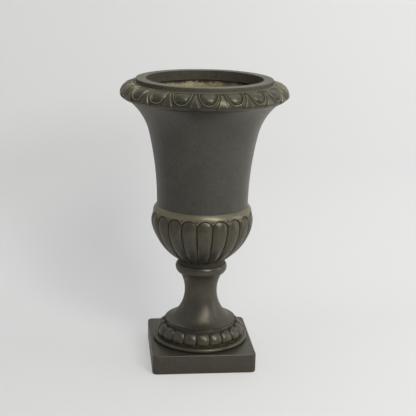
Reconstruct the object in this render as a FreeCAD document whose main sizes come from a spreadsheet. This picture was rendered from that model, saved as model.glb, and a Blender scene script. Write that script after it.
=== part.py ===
"""Urn planter: a campana urn in fibre clay, moulded in sections and drawn together by one rod.

Millimetres, +Z up.  The origin is the centre of the plinth's underside and the plinth's faces
look along X and Y.  The sections stand on each other face to face: plinth, bead ring, gadroon
ring, trumpet stem, knop collar, gadrooned bowl, campana body, egg-and-dart ring, lip ring.
"""
import FreeCAD
import Part
import Sketcher

import math
import os

from FreeCAD import Placement, Rotation, Vector

# ---------------------------------------------------------------- driving sizes
# Heights below are heights above the underside of the section that they belong to.
SIZES = [
    # fits between sections
    ("fit_gap", 0.3, "radial gap between a register and its recess, and behind the linings"),
    ("register_height", 6.0, "height of the registers that centre the stem, the collar and the bowl"),
    ("register_relief", 0.5, "by how much a register is shorter than its recess"),
    # plinth
    ("plinth_width", 287.0, "side of the square plinth"),
    ("plinth_height", 55.0, "height of the plinth"),
    ("plinth_wall", 18.0, "side wall of the hollow plinth"),
    ("plinth_deck", 20.0, "thickness of the plinth's top"),
    ("plinth_corner", 12.0, "radius of the upright corners"),
    ("plinth_edge", 4.0, "radius of the top and bottom edges"),
    # bead ring
    ("bead_height", 12.0, "height of the half-round bead"),
    ("bead_shoulder_radius", 127.5, "radius where the bead's flat top turns into the half round"),
    ("bead_bore_radius", 100.0, "inner radius of the bead ring"),
    # foot gadroon ring
    ("foot_ring_height", 44.0, "height of the foot gadroon ring"),
    ("foot_ring_bore_radius", 92.0, "inner radius of the foot gadroon ring"),
    ("foot_lobe_count", 20, "number of lobes round the foot"),
    ("foot_lobe_turn_radius", 36.0, "radius of the curve that a foot lobe's crest follows"),
    ("foot_lobe_axis_radius", 87.5, "distance of that curve's centre from the urn's axis"),
    ("foot_lobe_axis_height", 12.5, "height of that curve's centre"),
    ("foot_lobe_depth", 5.5, "depth of the valleys between the foot lobes"),
    # trumpet stem
    ("stem_height", 140.0, "height of the trumpet stem"),
    ("stem_edge_radius", 100.5, "outer radius of the stem's bottom edge"),
    ("stem_waist_radius", 45.7, "outer radius of the waist"),
    ("stem_waist_height", 87.0, "height of the waist"),
    ("stem_sweep_radius", 104.0, "radius of the long hollow curve of the stem"),
    ("stem_turn_height", 15.0, "height where the long curve passes into the foot's flare"),
    ("stem_flare_radius", 40.5, "radius of the flare that runs out to the bottom edge"),
    ("stem_wall", 12.0, "wall of the stem"),
    ("stem_recess_radius", 48.0, "radius of the recess for the collar's register"),
    # knop collar
    ("knop_height", 41.0, "height of the knop collar"),
    ("knop_foot_radius", 62.0, "outer radius of the collar's underside"),
    ("knop_radius", 72.4, "largest radius of the collar"),
    ("knop_belly_height", 17.0, "height of the collar's largest radius"),
    ("knop_top_radius", 66.0, "outer radius of the collar's top"),
    ("knop_bore_radius", 34.0, "inner radius of the collar"),
    ("knop_recess_radius", 50.0, "radius of the recess for the bowl's register"),
    # gadrooned bowl
    ("bowl_height", 158.0, "height of the bowl"),
    ("bowl_radius", 142.0, "largest radius of the bowl over its lobes"),
    ("bowl_belly_height", 114.0, "height of the largest radius"),
    ("bowl_upper_turn_radius", 75.0, "radius of the upper curve of the bowl"),
    ("bowl_turn_height", 90.0, "height where the upper curve passes into the lower one"),
    ("bowl_lower_turn_radius", 168.5, "radius of the lower curve of the bowl"),
    ("bowl_lobe_count", 20, "number of lobes round the bowl"),
    ("bowl_lobe_depth", 6.0, "depth of the valleys between the lobes at the largest radius"),
    ("bowl_neck_lobe_depth", 3.6, "depth of the valleys at the neck"),
    ("bowl_arch_height", 123.0, "height where the lobes start to close into round arches"),
    ("bowl_shoulder_radius", 127.0, "outer radius of the bowl's top edge"),
    ("bowl_shoulder_bow", 60.0, "radius of the shoulder's rounding"),
    ("bowl_wall", 12.0, "wall of the bowl behind the valleys"),
    ("bowl_floor", 14.0, "thickness of the bowl's floor"),
    ("bowl_mouth_radius", 115.0, "inner radius of the bowl's top"),
    ("lobe_seat", 1.2, "how far the ground of the bowl and of the foot ring lies below the valleys"),
    # campana body
    ("body_height", 290.0, "height of the body"),
    ("body_waist_radius", 126.7, "outer radius of the body's bottom edge"),
    ("body_turn_height", 200.0, "height where the long curve passes into the flare"),
    ("body_lean", 12.85, "lean of the wall at that height, in degrees from upright"),
    ("body_flare_radius", 163.0, "radius of the flare's curve"),
    ("body_wall", 9.0, "wall of the body"),
    ("body_register_height", 8.0, "height of the register that sits in the bowl's mouth"),
    ("body_ledge", 9.0, "height and width of the ledge that carries the lining"),
    # egg-and-dart ring
    ("egg_ring_height", 47.0, "height of the egg-and-dart ring"),
    ("egg_ring_bore_radius", 177.0, "inner radius of the egg-and-dart ring"),
    ("egg_ring_turn", 2.9, "angle by which the first egg stands off the front, in degrees"),
    ("ovolo_radius", 32.5, "radius of the rounded section over the eggs"),
    ("ovolo_centre_height", 16.5, "height of that section's centre, where the ring is widest"),
    ("ovolo_nose_radius", 8.0, "radius of the rounding under the widest place"),
    ("ovolo_ground_radius", 40.0, "radius of the flatter section of the ground between the eggs"),
    ("ovolo_ground_seat", 0.8, "how far the ground's lower edge lies inside the widest place"),
    ("ovolo_heart_radius", 20.0, "radius of the plain core that carries the carving"),
    ("ovolo_heart_inset", 3.0, "how far that core stays inside the ring's bore and underside"),
    ("egg_count", 20, "number of eggs, and of darts between them"),
    ("egg_lean", 62.0, "angle above level at which the eggs' middles face, in degrees"),
    ("carving_root", 18.0, "distance from the section's centre where borders and darts start"),
    ("clearing_root", 21.0, "distance from the section's centre where the clearing starts"),
    ("carving_reach", 24.0, "length of the borders, darts and clearings before they are turned down"),
    ("egg_radius", 18.5, "radius of an egg's outline"),
    ("egg_rise", 3.6, "how far an egg's middle stands above its sides"),
    ("egg_sink", 0.5, "how far an egg's crest stays below the section's crest"),
    ("egg_sweep", 88.0, "angle of the section that an egg covers, in degrees"),
    ("egg_clearing", 32.0, "radius out to which the ground round an egg is cleared"),
    ("husk_inner_radius", 21.6, "inner radius of the raised border round an egg"),
    ("husk_outer_radius", 24.6, "outer radius of the raised border round an egg"),
    ("dart_top_width", 2.5, "width of a dart at its upper end"),
    ("dart_foot_width", 13.0, "width of a dart at its lower end"),
    ("dart_top", 18.0, "how far a dart reaches above the eggs' middles"),
    ("dart_foot", 27.0, "how far a dart reaches below the eggs' middles"),
    # lip ring
    ("lip_height", 13.0, "height of the lip above the egg-and-dart ring"),
    ("lip_outer_radius", 186.5, "outer radius of the lip"),
    ("lip_inner_radius", 158.0, "radius of the mouth"),
    ("lip_skirt_depth", 14.0, "how far the painted band reaches down into the mouth"),
    ("lip_edge", 2.0, "radius of the lip's edges"),
    # linings
    ("lining_thickness", 7.0, "thickness of the fibre backing"),
    ("lining_throat_radius", 160.5, "inner radius of the backing behind the rim"),
    ("bowl_lining_floor", 8.0, "thickness of the backing on the bowl's floor"),
    ("bowl_lining_height", 124.0, "height of the backing in the bowl above its floor"),
    # rod and what it holds
    ("rod_radius", 6.0, "radius of the tie rod"),
    ("rod_hole_radius", 7.0, "radius of the rod's holes in floor and deck"),
    ("rod_end", 5.0, "how far the rod stands out of each nut"),
    ("nut_flats", 19.0, "width across the nut's flats"),
    ("nut_height", 10.0, "height of a nut"),
    ("washer_radius", 18.0, "outer radius of a washer"),
    ("washer_thickness", 2.5, "thickness of a washer"),
    ("hardware_gap", 0.2, "radial gap between the rod and what is threaded on it"),
    ("gasket_radius", 16.0, "outer radius of the sealing gasket"),
    ("gasket_thickness", 3.0, "thickness of the sealing gasket"),
    ("spreader_length", 160.0, "length of the spreader bar"),
    ("spreader_width", 28.0, "width of the spreader bar"),
    ("spreader_thickness", 6.0, "thickness of the spreader bar"),
    # drain
    ("drain_radius", 7.5, "radius of the drain holes"),
    ("drain_offset", 25.5, "distance of the drain holes from the axis"),
]

SHEET = "Sizes"
EDGE_OVERLAP = 1.1      # a lobe's flank runs this far past the valley, into its neighbour


class Size:
    """A length that knows its number and the formula on the sheet that gives it."""

    def __init__(self, value, text):
        self.value = float(value)
        self.text = text

    def _join(self, sign, value, other):
        right = other.text if isinstance(other, Size) else repr(float(other))
        return Size(value, f"({self.text} {sign} {right})")

    def __add__(self, other):
        return self._join("+", self.value + number(other), other)

    def __sub__(self, other):
        return self._join("-", self.value - number(other), other)

    def __mul__(self, other):
        return self._join("*", self.value * number(other), other)

    def __truediv__(self, other):
        return self._join("/", self.value / number(other), other)

    def __neg__(self):
        return Size(-self.value, f"(0 - {self.text})")

    def root(self):
        return Size(math.sqrt(self.value), f"sqrt({self.text})")

    def sine(self):
        return Size(math.sin(math.radians(self.value)), f"sin({self.text})")

    def cosine(self):
        return Size(math.cos(math.radians(self.value)), f"cos({self.text})")


def number(value):
    """The plain number of a Size, a guess or a number."""
    if isinstance(value, (Size, Guess)):
        return value.value
    return float(value)


class Guess:
    """A coordinate that the sketch works out itself, with a number to start from."""

    def __init__(self, value):
        self.value = number(value)


class Bow:
    """An arc between two corners of an outline.

    turn is +1 where the arc runs anticlockwise and -1 where it runs clockwise.  start is a
    radius to draw it with; radius, centre and smooth say what holds it.
    """

    def __init__(self, turn, start, radius=None, centre=(None, None), smooth=False, square=None):
        self.turn = turn
        self.start = number(start)
        self.radius = radius
        self.centre = centre
        self.smooth = smooth        # tangent to the edge before it
        self.square = square        # ("x" or "y", 0 or 1): centre level with that end


def leg(hypotenuse, side):
    """The other leg of a right triangle."""
    return (hypotenuse * hypotenuse - side * side).root()


# ---------------------------------------------------------------- document and sheet
doc = FreeCAD.newDocument("UrnPlanter")
sheet = doc.addObject("Spreadsheet::Sheet", SHEET)
S = {}
for row, (alias, value, note) in enumerate(SIZES, start=1):
    sheet.set(f"A{row}", alias)
    sheet.set(f"B{row}", str(value))
    sheet.set(f"C{row}", note)
    sheet.setAlias(f"B{row}", alias)
    S[alias] = Size(value, f"{SHEET}.{alias}")
doc.recompute()

# heights of the sections' undersides above the floor
bead_base = S["plinth_height"]
foot_ring_base = bead_base + S["bead_height"]
stem_base = foot_ring_base + S["foot_ring_height"]
knop_base = stem_base + S["stem_height"]
bowl_base = knop_base + S["knop_height"]
body_base = bowl_base + S["bowl_height"]
egg_ring_base = body_base + S["body_height"]
lip_base = egg_ring_base + S["egg_ring_height"]


# ---------------------------------------------------------------- helpers
def bind(thing, path, size):
    """Bind a property to the sheet."""
    thing.setExpression(path, size.text)


def new_body(label, base):
    """A body that stands at a height above the floor."""
    body = doc.addObject("PartDesign::Body", label)
    body.Label = label
    body.Placement = Placement(Vector(0, 0, base.value), Rotation())
    bind(body, "Placement.Base.z", base)
    return body


def origin_feature(body, role):
    """A plane or axis of the body's own origin."""
    return next(item for item in body.Origin.OriginFeatures if item.Role == role)


def new_sketch(body, name, plane="XZ_Plane", offset=(None, None, None), leaning=None):
    """A sketch on one of the body's planes, moved by an offset in that plane's axes.

    leaning is a list of turns, each an axis and an angle, made one after the other.
    """
    sketch = body.newObject("Sketcher::SketchObject", name)
    sketch.AttachmentSupport = [(origin_feature(body, plane), "")]
    sketch.MapMode = "FlatFace"
    if leaning is None:
        start = [0.0 if item is None else item.value for item in offset]
        sketch.AttachmentOffset = Placement(Vector(*start), Rotation())
        for axis, item in zip("xyz", offset):
            if item is not None:
                bind(sketch, f"AttachmentOffset.Base.{axis}", item)
        return sketch
    place = "; ".join("0" if item is None else item.text for item in offset)
    turns = " * ".join(f"rotation(vector({axis}); {angle.text})" for axis, angle in leaning)
    sketch.setExpression("AttachmentOffset", f"placement(vector({place}); {turns})")
    doc.recompute()
    return sketch


def hold(sketch, kind, where, size):
    """A dimension of the sketch, bound to the sheet."""
    index = sketch.addConstraint(Sketcher.Constraint(kind, *where, size.value))
    bind(sketch, f"Constraints[{index}]", size)


def draw_arc(sketch, first, last, bow):
    """Add the arc between two corners and return its index and its two ends' numbers."""
    half = (last - first) * 0.5
    left = Vector(-half.y, half.x, 0).normalize()
    rise = math.sqrt(max(bow.start ** 2 - half.Length ** 2, 0.0))
    centre = first + half + left * (rise * bow.turn)
    angles = [math.atan2(end.y - centre.y, end.x - centre.x) for end in (first, last)]
    circle = Part.Circle(centre, Vector(0, 0, 1), (first - centre).Length)
    if bow.turn > 0:
        return sketch.addGeometry(Part.ArcOfCircle(circle, *angles)), 1, 2
    return sketch.addGeometry(Part.ArcOfCircle(circle, *reversed(angles))), 2, 1


def outline(sketch, corners, bows=None):
    """Draw a closed outline: corners as (x, y) and bows as {number of first corner: Bow}."""
    bows = bows or {}
    points = [Vector(number(x), number(y), 0) for x, y in corners]
    edges = []
    for place, first in enumerate(points):
        last = points[(place + 1) % len(points)]
        if place in bows:
            edges.append(draw_arc(sketch, first, last, bows[place]))
        else:
            edges.append((sketch.addGeometry(Part.LineSegment(first, last)), 1, 2))
    for place, (edge, _, end) in enumerate(edges):
        follower, begin, _ = edges[(place + 1) % len(edges)]
        sketch.addConstraint(Sketcher.Constraint("Coincident", edge, end, follower, begin))
    for place, (x, y) in enumerate(corners):
        edge, begin, _ = edges[place]
        for kind, axis, value in (("DistanceX", -2, x), ("DistanceY", -1, y)):
            if isinstance(value, Size):
                hold(sketch, kind, (-1, 1, edge, begin), value)
            elif not isinstance(value, Guess):
                sketch.addConstraint(Sketcher.Constraint("PointOnObject", edge, begin, axis))
    for place, bow in bows.items():
        edge, begin, end = edges[place]
        if bow.radius is not None:
            hold(sketch, "Radius", (edge,), bow.radius)
        for kind, value in zip(("DistanceX", "DistanceY"), bow.centre):
            if value is not None:
                hold(sketch, kind, (-1, 1, edge, 3), value)
        if bow.square is not None:
            kind = "Horizontal" if bow.square[0] == "y" else "Vertical"
            near = (begin, end)[bow.square[1]]
            sketch.addConstraint(Sketcher.Constraint(kind, edge, 3, edge, near))
        if bow.smooth:
            before, _, tail = edges[place - 1]
            sketch.addConstraint(Sketcher.Constraint("Tangent", before, tail, edge, begin))
    doc.recompute()
    if sketch.solve() != 0:
        raise RuntimeError(f"{sketch.Label}: the outline does not close")
    return sketch


def circle(sketch, radius, x=None):
    """A circle on the sketch's X axis."""
    start = 0.0 if x is None else x.value
    edge = sketch.addGeometry(Part.Circle(Vector(start, 0, 0), Vector(0, 0, 1), radius.value))
    sketch.addConstraint(Sketcher.Constraint("PointOnObject", edge, 3, -1))
    if x is None:
        sketch.addConstraint(Sketcher.Constraint("PointOnObject", edge, 3, -2))
    else:
        hold(sketch, "DistanceX", (-1, 1, edge, 3), x)
    hold(sketch, "Radius", (edge,), radius)
    return sketch


def turn(body, kind, name, sketch, axis="V_Axis"):
    """Turn an outline round an axis of its sketch: a Revolution or a Groove."""
    feature = body.newObject(f"PartDesign::{kind}", name)
    feature.Profile = sketch
    feature.ReferenceAxis = (sketch, [axis])
    feature.Angle = 360.0
    sketch.Visibility = False
    doc.recompute()
    return feature


def cut_through(body, name, sketch):
    """Cut a sketch right through the body, both ways from its plane."""
    before = body.Shape.Volume
    feature = body.newObject("PartDesign::Pocket", name)
    feature.Profile = sketch
    feature.Type = "ThroughAll"
    feature.Midplane = True
    doc.recompute()
    if body.Shape.Volume >= before:
        raise RuntimeError(f"{name}: nothing was cut")
    return feature


def polar(body, name, originals, count):
    """Repeat features round the urn's axis."""
    feature = body.newObject("PartDesign::PolarPattern", name)
    feature.Originals = originals
    feature.Axis = (origin_feature(body, "Z_Axis"), [""])
    feature.Angle = 360.0
    feature.Occurrences = int(count.value)
    bind(feature, "Occurrences", count)
    body.Tip = feature
    doc.recompute()
    return feature


def round_edges(body, name, base, wanted, radius):
    """Fillet the edges of a feature that a test picks."""
    names = [f"Edge{i}" for i, edge in enumerate(base.Shape.Edges, start=1) if wanted(edge)]
    feature = body.newObject("PartDesign::Fillet", name)
    feature.Base = (base, names)
    feature.Radius = radius.value
    bind(feature, "Radius", radius)
    doc.recompute()
    return feature


def at_height(height):
    """A test for edges that lie flat at a height."""
    def test(edge):
        return all(abs(vertex.Point.z - height.value) < 1e-6 for vertex in edge.Vertexes)
    return test


def upright(edge):
    """A test for upright straight edges."""
    tops = [vertex.Point for vertex in edge.Vertexes]
    return len(tops) == 2 and (tops[1] - tops[0]).cross(Vector(0, 0, 1)).Length < 1e-6


# ---------------------------------------------------------------- sections
def make_plinth():
    """Square slab, hollow underneath, with holes for the rod and the drain in its deck."""
    body = new_body("plinth", S["plinth_height"] * 0.0)
    half = S["plinth_width"] / 2
    base = outline(new_sketch(body, "PlinthSquare", "XY_Plane"),
                   [(-half, -half), (half, -half), (half, half), (-half, half)])
    slab = body.newObject("PartDesign::Pad", "PlinthSlab")
    slab.Profile = base
    slab.Length = S["plinth_height"].value
    bind(slab, "Length", S["plinth_height"])
    doc.recompute()
    corners = round_edges(body, "PlinthCorners", slab, upright, S["plinth_corner"])
    top = round_edges(body, "PlinthTopEdge", corners, at_height(S["plinth_height"]), S["plinth_edge"])
    foot = round_edges(body, "PlinthBottomEdge", top, at_height(S["plinth_edge"] * 0.0), S["plinth_edge"])
    inner = half - S["plinth_wall"]
    before = foot.Shape.Volume
    hollow = outline(new_sketch(body, "PlinthHollowSquare", "XY_Plane"),
                     [(-inner, -inner), (inner, -inner), (inner, inner), (-inner, inner)])
    pocket = body.newObject("PartDesign::Pocket", "PlinthHollow")
    pocket.Profile = hollow
    pocket.Reversed = True
    pocket.Length = (S["plinth_height"] - S["plinth_deck"]).value
    bind(pocket, "Length", S["plinth_height"] - S["plinth_deck"])
    doc.recompute()
    if pocket.Shape.Volume >= before:
        raise RuntimeError("PlinthHollow: nothing was cut")
    holes = new_sketch(body, "PlinthHolePlan", "XY_Plane")
    circle(holes, S["rod_hole_radius"])
    circle(holes, S["drain_radius"], S["drain_offset"])
    cut_through(body, "PlinthHoles", holes)
    return body


def make_bead_ring():
    """Flat ring with a half-round outer edge."""
    body = new_body("foot_bead_ring", bead_base)
    height = S["bead_height"]
    profile = outline(
        new_sketch(body, "BeadProfile"),
        [(S["bead_bore_radius"], 0), (S["bead_shoulder_radius"], 0),
         (S["bead_shoulder_radius"], height), (S["bead_bore_radius"], height)],
        {1: Bow(+1, height / 2, square=("x", 0))})
    turn(body, "Revolution", "BeadTurned", profile)
    return body


def lobe_section(crest, depth, count):
    """Sizes across a lobe: bow radius, half width and how far in the flanks end.

    The lobe's face is an arc through its crest and through the valleys on both sides, which
    lie half a pitch away.  The flanks run a little past the valleys, so that neighbours cross.
    """
    half_pitch = Size(180.0, "180") / count
    valley = crest - depth
    half_width = valley * half_pitch.sine()
    rise = crest - valley * half_pitch.cosine()
    bow = (half_width * half_width + rise * rise) / (rise * 2)
    flank = half_width * EDGE_OVERLAP
    drop = bow - leg(bow, flank)
    return bow, flank, drop


def make_foot_gadroon_ring():
    """Turned core with short convex lobes, cut flat above and below."""
    body = new_body("foot_gadroon_ring", foot_ring_base)
    height = S["foot_ring_height"]
    bore = S["foot_ring_bore_radius"]
    axis_r = S["foot_lobe_axis_radius"]
    axis_z = S["foot_lobe_axis_height"]
    turn_r = S["foot_lobe_turn_radius"]
    ground = turn_r - S["foot_lobe_depth"] - S["lobe_seat"]
    neck = bore + S["lobe_seat"] * 2
    core = outline(
        new_sketch(body, "FootCoreProfile"),
        [(bore, 0), (Guess(axis_r + leg(ground, axis_z)), 0),
         (neck, Guess(axis_z + leg(ground, neck - axis_r))),
         (neck, height), (bore, height)],
        {1: Bow(+1, ground, radius=ground, centre=(axis_r, axis_z))})
    turn(body, "Revolution", "FootCore", core)
    crest = axis_r + turn_r
    bow, flank, drop = lobe_section(crest, S["foot_lobe_depth"], S["foot_lobe_count"])
    lobe = outline(
        new_sketch(body, "FootLobeSection", "XY_Plane", (axis_r, None, axis_z)),
        [(0, -flank), (turn_r - drop, -flank), (turn_r - drop, flank), (0, flank)],
        {1: Bow(+1, bow, radius=bow)})
    lobe_turned = turn(body, "Revolution", "FootLobe", lobe)
    lobes = polar(body, "FootLobes", [lobe_turned], S["foot_lobe_count"])
    far = crest + turn_r
    trim = outline(
        new_sketch(body, "FootTrimProfile"),
        [(0, -turn_r), (far, -turn_r), (far, 0), (bore, 0), (bore, height), (far, height),
         (far, height + turn_r), (0, height + turn_r)])
    before = lobes.Shape.Volume
    turn(body, "Groove", "FootTrim", trim)
    if body.Shape.Volume >= before:
        raise RuntimeError("FootTrim: nothing was cut")
    return body


def make_stem():
    """Waisted trumpet: one long hollow curve, a quick flare at its foot, an even wall."""
    body = new_body("trumpet_stem", stem_base)
    height = S["stem_height"]
    waist = S["stem_waist_height"]
    sweep = S["stem_sweep_radius"]
    centre = S["stem_waist_radius"] + sweep
    inner_sweep = sweep + S["stem_wall"]
    register = S["register_height"] - S["register_relief"]
    register_r = S["foot_ring_bore_radius"] - S["fit_gap"]
    recess_floor = height - S["register_height"]
    top_outer = centre - leg(sweep, height - waist)
    top_inner = centre - leg(inner_sweep, recess_floor - waist)
    foot_inner = centre - leg(inner_sweep, waist + register)
    flare = S["stem_flare_radius"]
    fall = (waist - S["stem_turn_height"]) / sweep
    out = leg(Size(1.0, "1"), fall)
    flare_centre = (centre - (sweep - flare) * out, waist - (sweep - flare) * fall)
    edge_top = flare_centre[1] - leg(flare, S["stem_edge_radius"] - flare_centre[0])
    profile = outline(
        new_sketch(body, "StemProfile"),
        [(foot_inner, -register), (register_r, -register), (register_r, 0),
         (S["stem_edge_radius"], 0), (S["stem_edge_radius"], edge_top),
         (centre - sweep * out, S["stem_turn_height"]), (top_outer, height),
         (S["stem_recess_radius"], height), (S["stem_recess_radius"], recess_floor),
         (top_inner, recess_floor)],
        {4: Bow(-1, flare, radius=flare),
         5: Bow(-1, sweep, radius=sweep),
         9: Bow(+1, inner_sweep, radius=inner_sweep)})
    turn(body, "Revolution", "StemTurned", profile)
    return body


def make_knop():
    """Rounded collar with a register below and a recess above."""
    body = new_body("knop_collar", knop_base)
    height = S["knop_height"]
    belly = S["knop_belly_height"]
    register = S["register_height"] - S["register_relief"]
    register_r = S["stem_recess_radius"] - S["fit_gap"]
    recess_floor = height - S["register_height"]
    profile = outline(
        new_sketch(body, "KnopProfile"),
        [(S["knop_bore_radius"], -register), (register_r, -register), (register_r, 0),
         (S["knop_foot_radius"], 0), (S["knop_radius"], belly), (S["knop_top_radius"], height),
         (S["knop_recess_radius"], height), (S["knop_recess_radius"], recess_floor),
         (S["knop_bore_radius"], recess_floor)],
        {3: Bow(+1, 19.0, square=("y", 1)), 4: Bow(+1, 48.0, square=("y", 0))})
    turn(body, "Revolution", "KnopTurned", profile)
    return body


def bowl_curve(inset):
    """The bowl's meridian, moved towards the axis: the two arcs' centres."""
    upper_r = S["bowl_upper_turn_radius"]
    lower_r = S["bowl_lower_turn_radius"]
    upper = (S["bowl_radius"] - upper_r - inset, S["bowl_belly_height"])
    fall = (S["bowl_belly_height"] - S["bowl_turn_height"]) / upper_r
    out = leg(Size(1.0, "1"), fall)
    lower = (upper[0] - (lower_r - upper_r) * out, upper[1] + (lower_r - upper_r) * fall)
    return upper, lower


def bowl_crest(height):
    """Radius over the lobes at a height of the bowl."""
    upper, lower = bowl_curve(0.0)
    if height.value >= S["bowl_turn_height"].value:
        return upper[0] + leg(S["bowl_upper_turn_radius"], upper[1] - height)
    return lower[0] + leg(S["bowl_lower_turn_radius"], lower[1] - height)


def bowl_lobe(height):
    """Crest radius of a lobe at a height, and its section's bow, half width and drop.

    The valleys get shallower from the largest radius to the neck.
    """
    crest = bowl_crest(height)
    neck_crest = bowl_crest(height * 0.0)
    share = (crest - neck_crest) / (S["bowl_radius"] - neck_crest)
    neck_depth = S["bowl_neck_lobe_depth"]
    depth = neck_depth + (S["bowl_lobe_depth"] - neck_depth) * share
    return (crest,) + lobe_section(crest, depth, S["bowl_lobe_count"])


def bowl_hollow(wall, floor, mouth, top):
    """Corners of the space inside the bowl, a wall's thickness inside the ground's curves."""
    upper, lower = bowl_curve(S["bowl_lobe_depth"] + S["lobe_seat"])
    upper_r = S["bowl_upper_turn_radius"] - wall
    lower_r = S["bowl_lower_turn_radius"] - wall
    fall = (S["bowl_belly_height"] - S["bowl_turn_height"]) / S["bowl_upper_turn_radius"]
    turn_height = upper[1] - upper_r * fall
    return [(0, floor), (lower[0] + leg(lower_r, lower[1] - floor), floor),
            (upper[0] + leg(upper_r, upper[1] - turn_height), turn_height),
            (mouth, upper[1] + leg(upper_r, mouth - upper[0])), (mouth, top), (0, top)]


def bowl_hollow_bows(wall):
    """The two arcs of that space."""
    upper_r = S["bowl_upper_turn_radius"] - wall
    lower_r = S["bowl_lower_turn_radius"] - wall
    return {1: Bow(+1, lower_r, radius=lower_r), 2: Bow(+1, upper_r, radius=upper_r)}


def make_bowl():
    """Turned bowl with lofted lobes that taper to the neck and close in round arches above."""
    body = new_body("gadrooned_bowl", bowl_base)
    height = S["bowl_height"]
    arch = S["bowl_arch_height"]
    depth = S["bowl_lobe_depth"]
    upper_r = S["bowl_upper_turn_radius"]
    lower_r = S["bowl_lower_turn_radius"]
    inset = depth + S["lobe_seat"]
    upper, lower = bowl_curve(inset)
    register = S["register_height"] - S["register_relief"]
    register_r = S["knop_recess_radius"] - S["fit_gap"]
    neck = lower[0] + leg(lower_r, lower[1])
    turn_z = S["bowl_turn_height"]
    core = outline(
        new_sketch(body, "BowlCoreProfile"),
        [(0, -register), (register_r, -register), (register_r, 0), (neck, 0),
         (upper[0] + leg(upper_r, upper[1] - turn_z), turn_z),
         (upper[0] + leg(upper_r, arch - upper[1]), arch),
         (S["bowl_shoulder_radius"], height), (0, height)],
        {3: Bow(+1, lower_r, radius=lower_r),
         4: Bow(+1, upper_r, radius=upper_r),
         5: Bow(+1, S["bowl_shoulder_bow"], radius=S["bowl_shoulder_bow"])})
    turn(body, "Revolution", "BowlCore", core)

    stations = [turn_z * 0.0, turn_z / 2, turn_z, (turn_z + upper[1]) / 2, upper[1], arch]
    sections = []
    for place, station in enumerate(stations):
        crest, bow, flank, drop = bowl_lobe(station)
        root = crest - drop - depth
        sections.append(outline(
            new_sketch(body, f"BowlLobeSection{place}", "XY_Plane", (None, None, station)),
            [(root, -flank), (crest - drop, -flank), (crest - drop, flank), (root, flank)],
            {1: Bow(+1, bow, radius=bow)}))
    lobe = body.newObject("PartDesign::AdditiveLoft", "BowlLobe")
    lobe.Profile = sections[0]
    lobe.Sections = sections[1:]
    doc.recompute()
    half = outline(
        new_sketch(body, "BowlArchSection", "XY_Plane", (None, None, arch)),
        [(root, 0), (crest, 0), (crest - drop, flank), (root, flank)],
        {1: Bow(+1, bow, radius=bow)})
    dome = turn(body, "Revolution", "BowlArch", half, "H_Axis")
    lobes = polar(body, "BowlLobes", [lobe, dome], S["bowl_lobe_count"])

    before = lobes.Shape.Volume
    hollow = outline(
        new_sketch(body, "BowlHollowProfile"),
        bowl_hollow(S["bowl_wall"], S["bowl_floor"], S["bowl_mouth_radius"], height + depth),
        bowl_hollow_bows(S["bowl_wall"]))
    turn(body, "Groove", "BowlHollow", hollow)
    if body.Shape.Volume >= before:
        raise RuntimeError("BowlHollow: nothing was cut")
    holes = new_sketch(body, "BowlHolePlan", "XY_Plane")
    circle(holes, S["rod_hole_radius"])
    circle(holes, S["drain_radius"], S["drain_offset"])
    cut_through(body, "BowlHoles", holes)
    return body


class BodyCurve:
    """The body's meridian at a depth inside its outer face: a long curve, then the flare.

    The long curve starts upright at the waist and leans out by body_lean at the turn height,
    where the flare takes over.  Both centres lie outside the wall, so radii grow inwards.
    """

    def __init__(self, depth):
        lean = S["body_lean"]
        turn_height = S["body_turn_height"]
        flare = S["body_flare_radius"]
        sweep = turn_height / lean.sine()
        turn_radius = S["body_waist_radius"] + sweep - sweep * lean.cosine()
        self.long_radius = sweep + depth
        self.flare_radius = flare + depth
        self.long_centre = S["body_waist_radius"] + sweep
        self.flare_centre = (turn_radius + flare * lean.cosine(), turn_height - flare * lean.sine())
        self.turn_point = (turn_radius - lean.cosine() * depth, turn_height + lean.sine() * depth)

    def low(self, height):
        """Radius of the long curve at a height."""
        return self.long_centre - leg(self.long_radius, height)

    def high(self, height):
        """Radius of the flare at a height."""
        return self.flare_centre[0] - leg(self.flare_radius, height - self.flare_centre[1])

    def height_at(self, radius):
        """Height of the flare at a radius."""
        return self.flare_centre[1] + leg(self.flare_radius, self.flare_centre[0] - radius)


def make_body():
    """Tall flaring shell with a register below, a ledge for its lining and a flat top."""
    body = new_body("campana_body", body_base)
    height = S["body_height"]
    ledge = S["body_ledge"]
    outer = BodyCurve(0.0)
    inner = BodyCurve(S["body_wall"])
    register = S["body_register_height"]
    register_r = S["bowl_mouth_radius"] - S["fit_gap"]
    ledge_r = inner.low(ledge) - ledge
    profile = outline(
        new_sketch(body, "BodyProfile"),
        [(ledge_r, -register), (register_r, -register), (register_r, 0),
         (S["body_waist_radius"], 0), outer.turn_point, (outer.high(height), height),
         (inner.high(height), height), inner.turn_point, (inner.low(ledge), ledge),
         (ledge_r, ledge)],
        {3: Bow(-1, outer.long_radius, radius=outer.long_radius),
         4: Bow(-1, outer.flare_radius, radius=outer.flare_radius),
         6: Bow(+1, inner.flare_radius, radius=inner.flare_radius),
         7: Bow(+1, inner.long_radius, radius=inner.long_radius)})
    turn(body, "Revolution", "BodyTurned", profile)
    return body


def ovolo_centre():
    """Distance from the axis of the rounded section's centre: the section ends at the lip."""
    crest = S["ovolo_radius"]
    return S["lip_outer_radius"] + leg(crest, S["egg_ring_height"] - S["ovolo_centre_height"])


def egg_frame(root, turned=None):
    """Offset and turns of a sketch that faces out through the eggs' middles, or between them."""
    lean = S["egg_lean"]
    out = ovolo_centre() + lean.cosine() * root
    up = S["ovolo_centre_height"] + lean.sine() * root
    if turned is None:
        return (None, up, out), [("-1; 0; 0", lean)]
    sideways = out * turned.sine()
    ahead = out * turned.cosine()
    return (sideways, up, ahead), [("0; 1; 0", turned), ("-1; 0; 0", lean)]


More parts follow.
